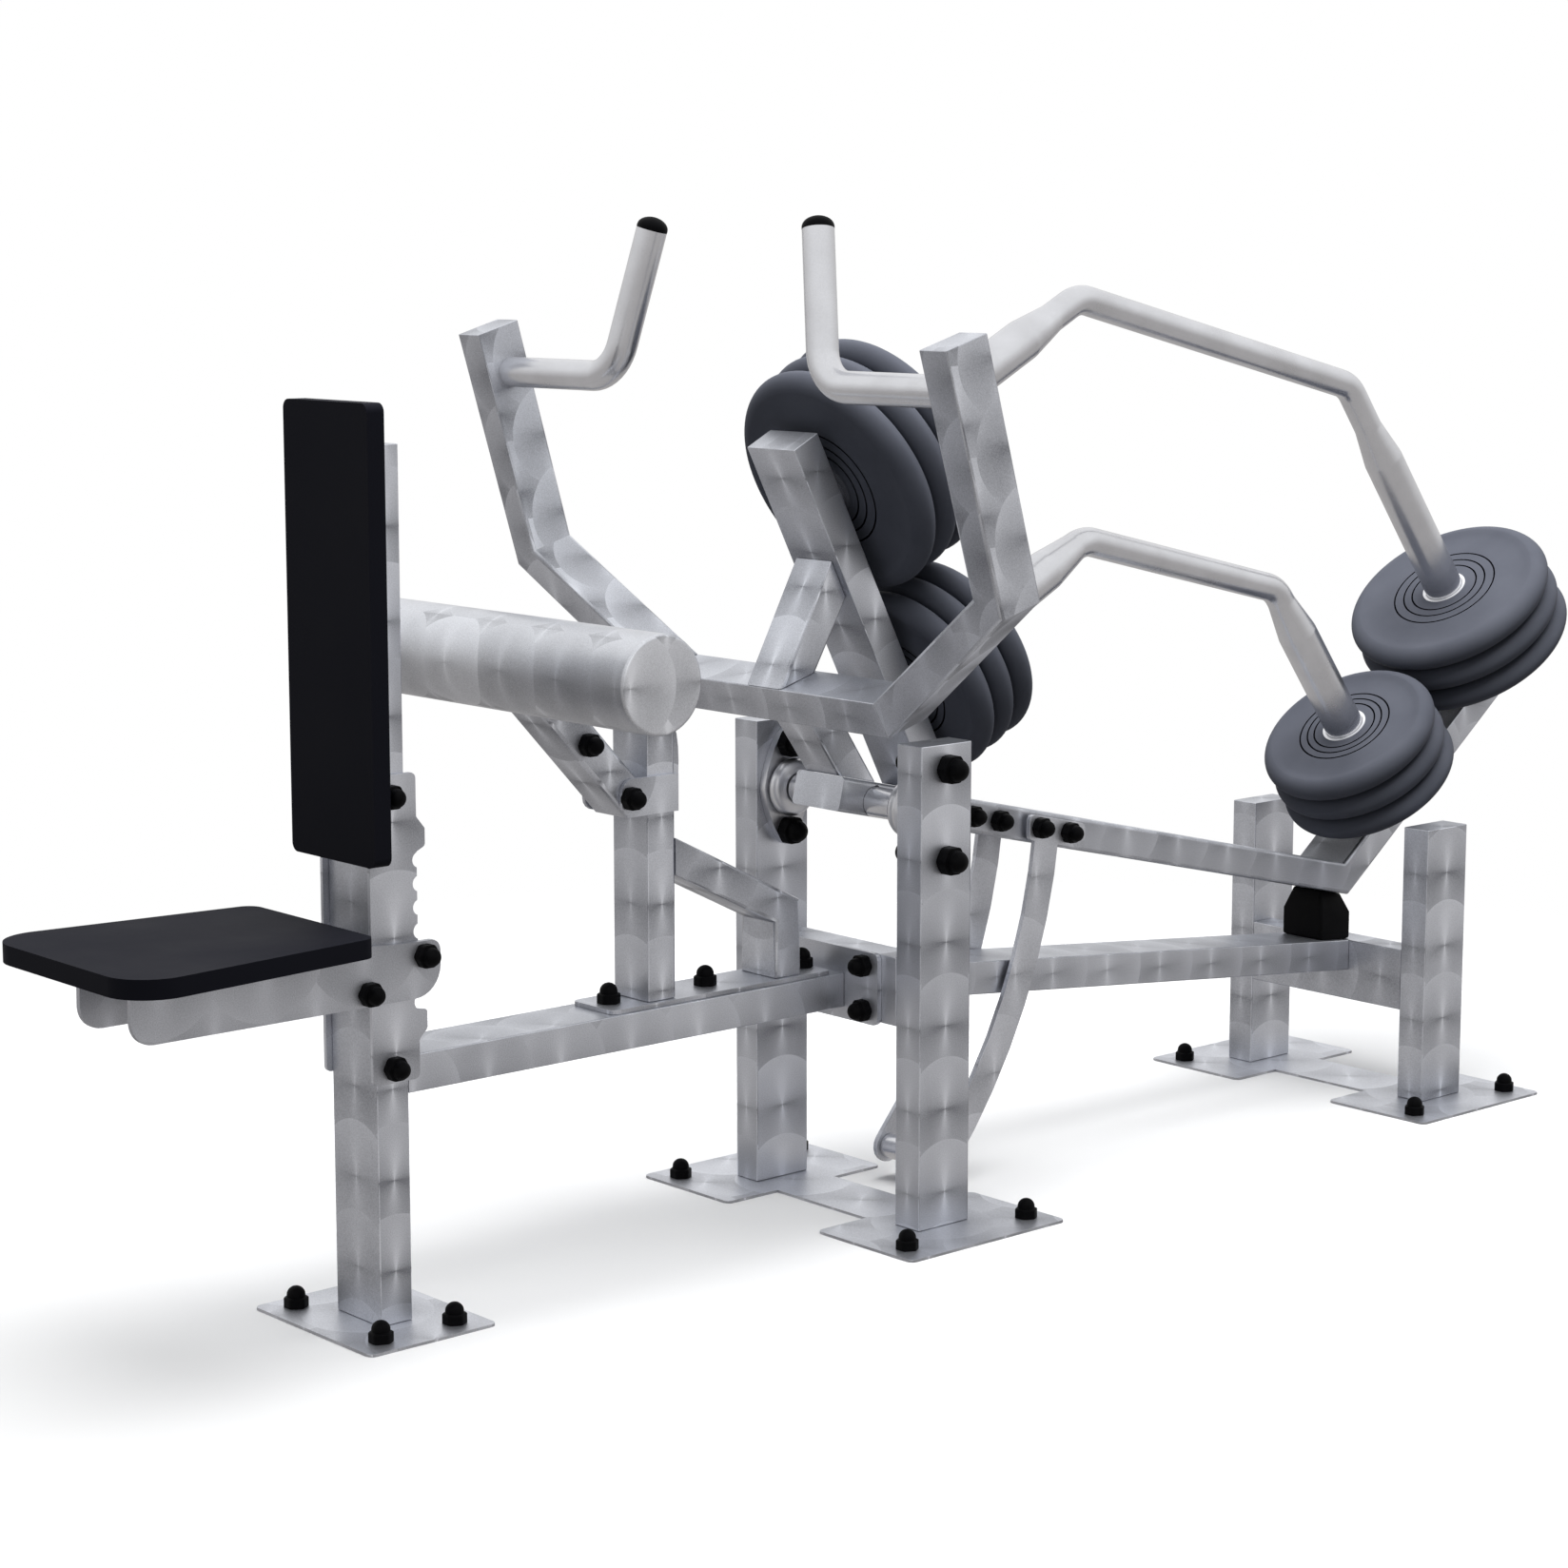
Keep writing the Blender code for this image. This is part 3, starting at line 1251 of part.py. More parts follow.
def seat_arm(name, sign):
    corners = [(ARM_FRONT_Y, ARM_LOW), (ARM_BACK_Y, ARM_LOW), (ARM_BACK_Y, ARM_TOP_BACK),
               (ARM_STEP_END_Y, ARM_TOP_BACK), (ARM_STEP_START_Y, ARM_TOP_FRONT),
               (ARM_FRONT_Y, ARM_TOP_FRONT)]
    radii = [ARM_FRONT_ROUND, ARM_BACK_ROUND, ARM_TOP_ROUND, 0, 0, 0]
    outline = round_corners([Vector(p) for p in corners], radii)
    inner = seat_arm_inner()
    x_low, x_high = side_range(sign, inner, inner + SEAT_ARM)
    piece = mesh_object(name, extrude(outline, SIDE_VIEW, x_low, x_high), GALVANISED)
    outer = sign * (inner + SEAT_ARM)
    feet = [((outer, NOTCH_Y, seat_rod_z()), (sign, 0, 0)), ((outer, FRONT_ROD_Y, FRONT_ROD_Z), (sign, 0, 0))]
    return with_nuts(piece, feet)


def seat_rod(name, y, z):
    half = seat_arm_inner() - FIT
    profile = [(ROD_RADIUS, -half), (ROD_RADIUS, half)]
    return mesh_object(name, turned(profile, (0, y, z), (1, 0, 0), ROD_SIDES), BRIGHT_ZINC)


def seat_board():
    """Seat board, wider at its outer end than at the post."""
    corners = [(-BOARD_FRONT_HALF_X, BOARD_FRONT_Y), (BOARD_FRONT_HALF_X, BOARD_FRONT_Y),
               (BOARD_BACK_HALF_X, BOARD_BACK_Y), (-BOARD_BACK_HALF_X, BOARD_BACK_Y)]
    outline = round_corners([Vector(p) for p in corners], [BOARD_CORNER] * 4, 6)
    low = ARM_TOP_FRONT + FIT
    piece = mesh_object("seat_board", extrude(outline, PLAN_VIEW, low, low + BOARD_THICK), PAD_BLACK)
    return soften_rim(piece, BOARD_EDGE)


def build_frame(root):
    pieces = [front_plate(), h_plate("main_base_plate", 0), h_plate("rear_base_plate", REAR_Y)]
    pieces += both_sides(main_column, "main_column")
    pieces += both_sides(rear_column, "rear_column")
    pieces.append(cross_beam("main_cross_beam", COLUMN_INNER_X, -WIDE / 2, MAIN_CROSS_LOW))
    pieces.append(cross_beam("rear_cross_beam", REAR_COLUMN_INNER_X, REAR_Y - WIDE / 2, REAR_CROSS_LOW))
    pieces += [front_post(), front_beam(), beam_flange(), rear_beam(), rubber_buffer(), chest_pad()]
    pieces += both_sides(rack_plate, "rack_plate")
    pieces += [drum_base_strip(), drum_column(), drum_strut(), drum_bracket(), cross_drum()]
    pieces += both_sides(bearing, "bearing")
    for piece in pieces:
        hang(piece, root)


def build_lever(lever):
    pieces = [pivot_shaft(), lever_beam(), lever_post(), lever_leg(), lever_brace(), cross_member()]
    pieces += both_sides(handle_arm, "handle_arm")
    pieces += both_sides(handle, "handle")
    pieces += both_sides(handle_cap, "handle_cap")
    pieces.append(weight_tube("upper_weight_tube", upper_station(), UPPER_RUN_RISE,
                              UPPER_THICK_NEAR, UPPER_THICK_FAR, UPPER_COLLAR))
    pieces.append(weight_tube("lower_weight_tube", LOWER_FOOT, LOWER_RUN_RISE,
                              LOWER_THICK_NEAR, LOWER_THICK_FAR, LOWER_COLLAR))
    pieces += both_sides(stirrup_bar, "stirrup_bar")
    pieces.append(stirrup_pin())
    for piece in pieces:
        hang(piece, lever)


def build_discs(lever):
    upper = (UPPER_DISC_RADIUS, UPPER_DISC_THICK, UPPER_COLLAR, UPPER_GROOVES)
    lower = (LOWER_DISC_RADIUS, LOWER_DISC_THICK, LOWER_COLLAR, LOWER_GROOVES)
    disc_stack("upper_near", near_foot(upper_station()), near_normal(), upper, lever)
    disc_stack("lower_near", near_foot(LOWER_FOOT), near_normal(), lower, lever)
    disc_stack("upper_far", far_foot(upper_station()), far_normal(), upper, lever)
    disc_stack("lower_far", far_foot(LOWER_FOOT), far_normal(), lower, lever)


def build_seat(seat):
    pieces = both_sides(seat_arm, "seat_arm")
    pieces.append(seat_rod("seat_hook_rod", NOTCH_Y, seat_rod_z()))
    pieces.append(seat_rod("seat_front_rod", FRONT_ROD_Y, FRONT_ROD_Z))
    pieces.append(seat_board())
    for piece in pieces:
        hang(piece, seat)


clear_scene()
build_frame(make_axis("frame origin", (0, 0, 0)))
lever_pivot = make_axis("lever pivot", (0, 0, PIVOT_Z))
build_lever(lever_pivot)
build_discs(lever_pivot)
build_seat(make_axis("seat tilt", (0, NOTCH_Y, seat_rod_z())))
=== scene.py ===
"""Seated rower of an outdoor gym, dressed for its picture: swept galvanised steel,
rubber weight discs and black boards on a pale studio floor."""
import math

import bmesh
import bpy
from mathutils import Matrix, Vector, geometry


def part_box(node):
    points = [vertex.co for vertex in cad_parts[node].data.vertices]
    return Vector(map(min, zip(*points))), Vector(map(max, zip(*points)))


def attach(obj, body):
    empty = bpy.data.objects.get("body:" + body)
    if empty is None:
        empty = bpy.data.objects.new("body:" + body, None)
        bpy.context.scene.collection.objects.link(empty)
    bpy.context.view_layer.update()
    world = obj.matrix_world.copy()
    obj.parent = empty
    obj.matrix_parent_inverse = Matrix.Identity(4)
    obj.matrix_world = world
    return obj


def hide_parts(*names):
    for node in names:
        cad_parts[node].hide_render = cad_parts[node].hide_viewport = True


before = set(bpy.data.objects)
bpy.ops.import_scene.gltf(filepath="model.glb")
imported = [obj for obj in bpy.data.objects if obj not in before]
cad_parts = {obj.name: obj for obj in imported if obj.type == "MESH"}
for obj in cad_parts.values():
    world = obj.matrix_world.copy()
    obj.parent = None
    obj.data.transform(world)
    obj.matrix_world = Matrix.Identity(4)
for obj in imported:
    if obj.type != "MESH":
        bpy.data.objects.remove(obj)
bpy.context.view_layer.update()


# Viewpoint. The photograph looks down a little from beside the seat, past the right
# grip to the weights, through a long lens.

photo_lens = bpy.data.cameras.new("photo_lens")
photo_lens.lens = 78.397
photo_lens.sensor_width = 36.0
photo_lens.shift_x = -0.000246
photo_lens.shift_y = -0.016858
photo_lens.clip_end = 80.0
camera = bpy.data.objects.new("photo_camera", photo_lens)
bpy.context.scene.collection.objects.link(camera)
bpy.context.scene.camera = camera
bpy.context.scene.view_settings.view_transform = "Standard"
view_azimuth, view_height = math.radians(48.565), math.radians(8.6106)
view_back = Vector((math.sin(view_azimuth) * math.cos(view_height),
                    -math.cos(view_azimuth) * math.cos(view_height), math.sin(view_height)))
camera.location = (3.594232, -3.301145, 1.397090)
camera.rotation_euler = view_back.to_track_quat("Z", "Y").to_euler()


# Studio. A pale round floor that thins out into the white backdrop, lights the piece from
# below only weakly and shows in its metal as a plain grey; a wide soft lamp overhead.

def node(tree, kind, inputs=None, **settings):
    """Add a shader node; an input is a value or another node's output."""
    made = tree.nodes.new(kind)
    for name, value in settings.items():
        setattr(made, name, value)
    for key, value in (inputs or {}).items():
        if isinstance(value, bpy.types.NodeSocket):
            tree.links.new(value, made.inputs[key])
        else:
            made.inputs[key].default_value = value
    return made


def calc(tree, operation, *terms):
    return node(tree, "ShaderNodeMath", dict(enumerate(terms)), operation=operation).outputs[0]


def remap(tree, value, low, high, to_low, to_high):
    sockets = {"Value": value, "From Min": low, "From Max": high, "To Min": to_low, "To Max": to_high}
    return node(tree, "ShaderNodeMapRange", sockets).outputs[0]


def blend(tree, share, dark, light):
    return node(tree, "ShaderNodeMix", {0: share, 6: dark, 7: light}, data_type="RGBA").outputs[2]


def new_finish(name):
    """A new material, with its tree, its shader and the piece's own coordinates."""
    finish = bpy.data.materials.new(name)
    finish.use_nodes = True
    tree = finish.node_tree
    return finish, tree, tree.nodes["Principled BSDF"], node(tree, "ShaderNodeTexCoord").outputs["Object"]


floor_radius, thins_from, thins_to = 5.0, 1.2, 2.4
floor_shape = bmesh.new()
bmesh.ops.create_circle(floor_shape, cap_ends=True, segments=96, radius=floor_radius)
floor_mesh = bpy.data.meshes.new("studio_floor")
floor_shape.to_mesh(floor_mesh)
floor_shape.free()
floor = bpy.data.objects.new("studio_floor", floor_mesh)
floor.location = (0.0, 0.25, 0.0)
bpy.context.scene.collection.objects.link(floor)
floor_paint, tree, matt, place = new_finish("studio_floor_paint")
matt.inputs["Base Color"].default_value = (0.96, 0.96, 0.96, 1.0)
matt.inputs["Roughness"].default_value = 0.9
matt.inputs["Specular IOR Level"].default_value = 0.1
distance = node(tree, "ShaderNodeVectorMath", {0: place}, operation="LENGTH").outputs["Value"]
fade = remap(tree, distance, thins_from, thins_to, 0.0, 1.0)
clear = node(tree, "ShaderNodeBsdfTransparent").outputs[0]
seen = node(tree, "ShaderNodeLightPath").outputs
# To every ray but the camera's the floor glows as a plain emission: a painted reflection of it in the metal
# and a little painted light from below, in place of its lit and shadowed colour.
in_metal, as_light = 0.42, 0.09
level = calc(tree, "MULTIPLY_ADD", seen["Is Glossy Ray"], in_metal, as_light)
plain = node(tree, "ShaderNodeEmission", {"Color": (1.0, 0.97, 0.95, 1.0), "Strength": level}).outputs[0]
by_ray = {0: seen["Is Camera Ray"], 1: plain, 2: matt.outputs[0]}
ground = node(tree, "ShaderNodeMixShader", by_ray).outputs[0]
thinned = node(tree, "ShaderNodeMixShader", {0: fade, 1: ground, 2: clear}).outputs[0]
tree.links.new(thinned, tree.nodes["Material Output"].inputs["Surface"])
floor_mesh.materials.append(floor_paint)

studio = bpy.data.worlds.new("studio")
bpy.context.scene.world = studio
studio.use_nodes = True
tree = studio.node_tree
tree.nodes.clear()
seen = node(tree, "ShaderNodeLightPath").outputs
backdrop = calc(tree, "MAXIMUM", seen["Is Camera Ray"],
                calc(tree, "MAXIMUM", seen["Is Glossy Ray"], seen["Is Transmission Ray"]))
soft = node(tree, "ShaderNodeBackground", {"Color": (0.93, 0.96, 1.0, 1.0), "Strength": 0.27}).outputs[0]
outward = node(tree, "ShaderNodeTexCoord").outputs["Generated"]
height = node(tree, "ShaderNodeSeparateXYZ", {0: outward}).outputs[2]
horizon = calc(tree, "MAXIMUM", remap(tree, height, -0.20, 0.42, 0.0, 1.0), seen["Is Camera Ray"])
tint = blend(tree, horizon, (0.51, 0.495, 0.485, 1.0), (1.0, 1.0, 1.0, 1.0))
white = node(tree, "ShaderNodeBackground", {"Color": tint, "Strength": 1.0}).outputs[0]
sky = node(tree, "ShaderNodeMixShader", {0: backdrop, 1: soft, 2: white}).outputs[0]
node(tree, "ShaderNodeOutputWorld", {"Surface": sky})

lamp_place, lamp_aim = Vector((0.4, 0.4, 4.8)), Vector((0.0, 0.3, 0.5))
overhead = bpy.data.lights.new("overhead_lamp", "AREA")
overhead.shape = "DISK"
overhead.size = 6.0
overhead.energy = 430.0
lamp = bpy.data.objects.new("overhead_lamp", overhead)
lamp.location = lamp_place
lamp.rotation_euler = (lamp_place - lamp_aim).to_track_quat("Z", "Y").to_euler()
lamp.visible_glossy = False
bpy.context.scene.collection.objects.link(lamp)


# Ground plates. Three 4 mm steel plates, hot-dip galvanised and then swept with a round
# brush, which leaves overlapping fans; the bright streak and the lighter half of each fan
# are painted highlights. Their corners are rounded, and black plastic caps cover the
# anchor bolts.

def node_group(name, inputs, outputs):
    """Start a shader group, an input being a number or the name of its kind; returns it with
    its entry's and its exit's sockets."""
    group = bpy.data.node_groups.new(name, "ShaderNodeTree")
    for label, value in inputs.items():
        is_number = isinstance(value, float)
        kind = "Float" if is_number else value
        socket = group.interface.new_socket(label, in_out="INPUT", socket_type="NodeSocket" + kind)
        if is_number:
            socket.default_value = value
    for label, kind in outputs.items():
        group.interface.new_socket(label, in_out="OUTPUT", socket_type="NodeSocket" + kind)
    return group, group.nodes.new("NodeGroupInput").outputs, group.nodes.new("NodeGroupOutput").inputs


def noise(tree, place, scale, detail):
    sockets = {"Vector": place, "Scale": scale, "Detail": detail}
    return node(tree, "ShaderNodeTexNoise", sockets).outputs["Fac"]


def one_fan_group():
    """One row of brush sweeps: how far a point is covered, and its fan of painted highlight and shade."""
    wobble, spoke_glow, side_glow, painted_light_base = 0.12, 0.40, 0.52, -0.34
    dome_gain, dome_limit, fan_middle = 0.4, 0.10, 0.52
    group, take, give = node_group(
        "one_fan", {"Place": "Vector", "Pitch": 0.12, "Radius": 0.069, "Slip": 0.0, "Row": 0.0,
                    "Step": 0.0, "Turn": 0.0},
        {"Cover": "Float", "Fan": "Float", "Tone": "Float", "Edge": "Float"})
    where = node(group, "ShaderNodeSeparateXYZ", {0: take["Place"]}).outputs
    slipped = calc(group, "DIVIDE", calc(group, "SUBTRACT", where[0], take["Slip"]), take["Pitch"])
    index = calc(group, "ADD", calc(group, "FLOOR", slipped), take["Step"])
    middle = calc(group, "MULTIPLY_ADD", index, take["Pitch"], take["Slip"])
    along = calc(group, "SUBTRACT", where[0], middle)
    across = calc(group, "SUBTRACT", where[1], take["Row"])
    offset = node(group, "ShaderNodeCombineXYZ", {0: along, 1: across}).outputs[0]
    reach = node(group, "ShaderNodeVectorMath", {0: offset}, operation="LENGTH").outputs["Value"]
    share = calc(group, "DIVIDE", reach, take["Radius"])
    label = node(group, "ShaderNodeCombineXYZ", {0: index, 1: take["Row"], 2: where[2]}).outputs[0]
    chance = node(group, "ShaderNodeTexWhiteNoise", {"Vector": label}, noise_dimensions="3D").outputs["Value"]
    turn = calc(group, "ADD", take["Turn"], calc(group, "MULTIPLY_ADD", chance, wobble, -wobble / 2))
    angle = calc(group, "SUBTRACT", calc(group, "ARCTAN2", across, along), turn)
    upward = calc(group, "COSINE", angle)
    spoke = calc(group, "ABSOLUTE", upward)
    # Painted highlight: the bright streak of a fan that faces the light, fading towards the fan's rim.
    streak = calc(group, "MULTIPLY_ADD", calc(group, "POWER", spoke, 20.0), spoke_glow, painted_light_base)
    streak = calc(group, "MULTIPLY_ADD", spoke, side_glow, streak)
    fading = calc(group, "MAXIMUM", calc(group, "MULTIPLY_ADD", share, -1.1, 1.15), 0.12)
    # Painted light and shade: the half of the fan towards Turn is lighter, the other half darker.
    dome = calc(group, "MAXIMUM", calc(group, "MULTIPLY", upward, dome_gain), -dome_limit)
    dome = calc(group, "ADD", calc(group, "MINIMUM", dome, dome_limit), fan_middle)
    group.links.new(remap(group, share, 1.006, 0.994, 0.0, 1.0), give["Cover"])
    group.links.new(calc(group, "MULTIPLY_ADD", streak, fading, dome), give["Fan"])
    group.links.new(chance, give["Tone"])
    group.links.new(calc(group, "POWER", calc(group, "MINIMUM", share, 1.0), 3.0), give["Edge"])
    return group


def swept_zinc_group():
    """Overlapping fans of painted highlight, zinc clouds and specks. A middle row of sweeps lies
    over the rows on both sides of it. Shine holds the way and the strength of the fans' painted
    highlights, and a painted shade."""
    fan_group = one_fan_group()
    group, take, give = node_group(
        "swept_zinc", {"Place": "Vector", "Shine": "Vector", "Solid": "Vector", "Pitch": 0.12,
                       "Radius": 0.069, "Row": 0.1},
        {"Glow": "Float", "Speck": "Float"})
    where = node(group, "ShaderNodeSeparateXYZ", {0: take["Place"]}).outputs
    turn, strength, shade = node(group, "ShaderNodeSeparateXYZ", {0: take["Shine"]}).outputs
    double = calc(group, "MULTIPLY", take["Row"], 2.0)
    band = calc(group, "ROUND", calc(group, "DIVIDE", where[1], double))
    across = calc(group, "SUBTRACT", where[1], calc(group, "MULTIPLY", band, double))
    seed = calc(group, "MULTIPLY_ADD", band, 7.31, where[2])
    folded = node(group, "ShaderNodeCombineXYZ", {0: where[0], 1: across, 2: seed}).outputs[0]
    half = calc(group, "MULTIPLY", take["Pitch"], 0.5)
    lower_row = calc(group, "MULTIPLY", take["Row"], -1.0)
    mixed = {}
    for row, slip in ((lower_row, half), (take["Row"], half), (0.0, 0.0)):
        for step in (1.0, 0.0):
            own = {"Place": folded, "Pitch": take["Pitch"], "Radius": take["Radius"], "Slip": slip,
                   "Row": row, "Step": step, "Turn": turn}
            sweep = node(group, "ShaderNodeGroup", own, node_tree=fan_group).outputs
            for key in ("Fan", "Tone", "Edge"):
                over = {0: sweep["Cover"], 2: mixed.get(key), 3: sweep[key]}
                mixed[key] = node(group, "ShaderNodeMix", over).outputs[0] if key in mixed else sweep[key]
    cloud = noise(group, take["Solid"], 9.0, 4.0)
    speck = noise(group, take["Solid"], 620.0, 2.0)
    lobes = calc(group, "MULTIPLY_ADD", mixed["Tone"], 0.24, -0.175)
    lobes = calc(group, "MULTIPLY_ADD", mixed["Edge"], 0.18, lobes)
    # Glow adds the fans' painted highlights and the painted shade to the sweeps' random tone and lighter
    # rims, the zinc clouds and the specks.
    fan = calc(group, "MULTIPLY", calc(group, "ADD", mixed["Fan"], -0.52), strength)
    glow = calc(group, "MULTIPLY_ADD", fan, 0.98, calc(group, "ADD", shade, 0.5))
    glow = calc(group, "MULTIPLY_ADD", lobes, calc(group, "MAXIMUM", strength, 0.8), glow)
    glow = calc(group, "MULTIPLY_ADD", calc(group, "ADD", cloud, -0.5), 0.34, glow)
    glow = calc(group, "MULTIPLY_ADD", calc(group, "ADD", speck, -0.5), 0.60, glow)
    group.links.new(glow, give["Glow"])
    group.links.new(speck, give["Speck"])
    return group


swept_zinc = swept_zinc_group()


def galvanised(name, light, dark, pitch, radius, row, roughness):
    """Swept galvanised steel with zinc speckle, in its own size of sweep, with painted
    highlights and painted shade in its colour.
    """
    finish, tree, shader, solid = new_finish(name)
    place = node(tree, "ShaderNodeAttribute", attribute_name="sweep").outputs["Vector"]
    shine = node(tree, "ShaderNodeAttribute", attribute_name="streak").outputs["Vector"]
    own = {"Place": place, "Shine": shine, "Solid": solid, "Pitch": pitch, "Radius": radius, "Row": row}
    zinc = node(tree, "ShaderNodeGroup", own, node_tree=swept_zinc).outputs
    tree.links.new(blend(tree, zinc["Glow"], dark, light), shader.inputs["Base Color"])
    dullness = remap(tree, zinc["Glow"], 0.0, 1.0, roughness + 0.10, roughness - 0.06)
    tree.links.new(dullness, shader.inputs["Roughness"])
    relief = node(tree, "ShaderNodeBump", {"Height": zinc["Speck"], "Strength": 0.35, "Distance": 0.0004})
    tree.links.new(relief.outputs[0], shader.inputs["Normal"])
    shader.inputs["Metallic"].default_value = 0.92
    return finish


tube_steel = galvanised("galvanised_tube", (0.84, 0.865, 0.930, 1.0), (0.255, 0.262, 0.290, 1.0),
                        0.121, 0.076, 0.100, 0.38)
plate_steel = galvanised("galvanised_plate", (0.84, 0.860, 0.920, 1.0), (0.285, 0.292, 0.318, 1.0),
                         0.150, 0.088, 0.110, 0.42)


def rounded(corners, radii, steps=8):
    """Outline with an arc at each corner that has a radius."""
    outline = []
    for index, corner in enumerate(corners):
        corner, radius = Vector(corner), radii[index]
        if not radius:
            outline.append(corner)
            continue
        back = (Vector(corners[index - 1]) - corner).normalized()
        ahead = (Vector(corners[(index + 1) % len(corners)]) - corner).normalized()
        half = back.angle(ahead) / 2
        centre = corner + (back + ahead).normalized() * (radius / math.sin(half))
        start = corner + back * (radius / math.tan(half)) - centre
        sweep = start.angle_signed(corner + ahead * (radius / math.tan(half)) - centre)
        for step in range(steps + 1):
            turn = Matrix.Rotation(-sweep * step / steps, 2)
            outline.append(centre + turn @ start)
    return outline


def plan(a, b, c):
    """Outline drawn from above, as x and y; the thickness is along z."""
    return Vector((a, b, c))


def side(a, b, c):
    """Outline drawn from the side, as y and z; the thickness is along x."""
    return Vector((c, a, b))


def front(a, b, c):
    """Outline drawn from the front, as x and z; the thickness is towards the seat."""
    return Vector((a, -c, b))


def join_rings(shape, rings, closed=False):
    """Skin neighbouring rings with faces; a ring of one vertex is a tip."""
    for low, high in zip(rings, rings[1:] + (rings[:1] if closed else [])):
        count = max(len(low), len(high))
        for i in range(count):
            j = (i + 1) % count
            if len(low) == 1:
                shape.faces.new((low[0], high[j], high[i]))
            elif len(high) == 1:
                shape.faces.new((low[i], low[j], high[0]))
            else:
                shape.faces.new((low[i], low[j], high[j], high[i]))


def finish_mesh(name, shape, sharp=35.0):
    bmesh.ops.recalc_face_normals(shape, faces=shape.faces)
    mesh = bpy.data.meshes.new(name)
    shape.to_mesh(mesh)
    shape.free()
    mesh.shade_smooth()
    mesh.set_sharp_from_angle(angle=math.radians(sharp))
    piece = bpy.data.objects.new(name, mesh)
    piece.modifiers.new("even_faces", "WEIGHTED_NORMAL").keep_sharp = True
    bpy.context.scene.collection.objects.link(piece)
    return piece


def slab(name, outline, lay, low, high, ease, rounds=2):
    """Flat piece cut to an outline, its two rims eased."""
    shape = bmesh.new()
    rings = [[shape.verts.new(lay(p[0], p[1], level)) for p in outline] for level in (low, high)]
    join_rings(shape, rings)
    caps = [shape.faces.new(rings[0][::-1]), shape.faces.new(rings[1])]
    rims = [edge for cap in caps for edge in cap.edges]
    bmesh.ops.bevel(shape, geom=rims, offset=ease, segments=rounds, profile=0.5, affect="EDGES")
    return finish_mesh(name, shape)


def lay_sweep(piece, route, turned=False, aside=0.0, end_slip=None, tone=0.0, glow=1.0):
    """Tell the brush, at each face corner, how far along the piece and off its middle it is,
    which way and how strongly the sweeps' painted highlights point there, and the face's
    painted shade. On some pieces the middle row of sweeps runs aside of the middle."""
    route = [Vector(p) for p in route]
    mesh = piece.data
    seed = sum(map(ord, piece.name)) % 89
    slip = seed * 0.0317
    store = mesh.attributes.new("sweep", "FLOAT_VECTOR", "CORNER")
    shine = mesh.attributes.new("streak", "FLOAT_VECTOR", "CORNER")
    world = piece.matrix_world
    for face in mesh.polygons:
        middle, walked = world @ face.center, 0.0
        best = None
        for start, end in zip(route, route[1:]):
            length = (end - start).length
            along = (end - start) / length
            reach = min(max((middle - start).dot(along), 0.0), length)
            gap = (middle - start - along * reach).length
            if best is None or gap < best[0]:
                best = (gap, start, along, walked)
            walked += length
        gap, start, along, walked = best
        normal = world.to_3x3() @ face.normal
        level = Vector((0, 0, 1)) if abs(along.z) < 0.9 else Vector((0, 1, 0))
        flat = along.cross(level).normalized()
        if abs(normal.dot(along)) > 0.8:
            first, second = -flat, along.cross(flat).normalized()
            offset = seed % 7 * 0.009 - 0.03 if end_slip is None else end_slip
        else:
            first, second, offset = along, normal.cross(along).normalized(), walked + slip
        key = seed + round(normal.x * 3 + normal.y * 7 + normal.z * 13) * 0.37
        # The painted highlights point up, towards the light above; on level faces they point along a fixed
        # level way.
        upward = Vector((0, 0, 1)) if abs(normal.z) < 0.9 else Vector((0.66, -0.75, 0))
        # Painted shade by facing: lighter on top, darker on faces along y, much darker underneath.
        shade = 0.07 * max(normal.z, 0) - 0.09 * abs(normal.y) - 0.2 * max(-normal.z, 0)
        # The painted highlights are strongest on faces along x; glow scales them for the whole piece.
        strength = (abs(normal.x) + 0.50 * abs(normal.y) + 0.45 * abs(normal.z)) * glow
        bright = (math.atan2(upward.dot(second), upward.dot(first)), strength, shade + tone)
        for corner in face.loop_indices:
            spot = world @ mesh.vertices[mesh.loops[corner].vertex_index].co - start
            across = spot.dot(second)
            if turned and first is along:
                radial = spot - along * spot.dot(along)
                around = math.atan2(radial.dot(flat.cross(along)), radial.dot(flat))
                facing = math.atan2(normal.dot(flat.cross(along)), normal.dot(flat))
                around += math.tau * round((facing - around) / math.tau)
                across, key = around * radial.length, seed
                # On turned faces the painted highlight streaks run round the piece, at a fixed strength.
                bright = (math.pi / 2, 0.38, shade + tone)
            shine.data[corner].vector = bright
            store.data[corner].vector = (spot.dot(first) + offset, across + aside, key)
    return piece


def fit(piece, finish, body, slot, *nodes):
    """Give a piece its finish and its body, in place of the CAD solids it stands for."""
    for material in finish if isinstance(finish, tuple) else (finish,):
        piece.data.materials.append(material)
    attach(piece, body)
    if nodes:
        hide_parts(*nodes)
    return piece


def galvanised_plate(name, outline, lay, low, high, ease, route, body, node_name, **brush):
    """Flat plate in the plates' finish, swept along a route."""
    plate = lay_sweep(slab(name, outline, lay, low, high, ease), route, **brush)
    return fit(plate, plate_steel, body, "galvanised_steel", node_name)


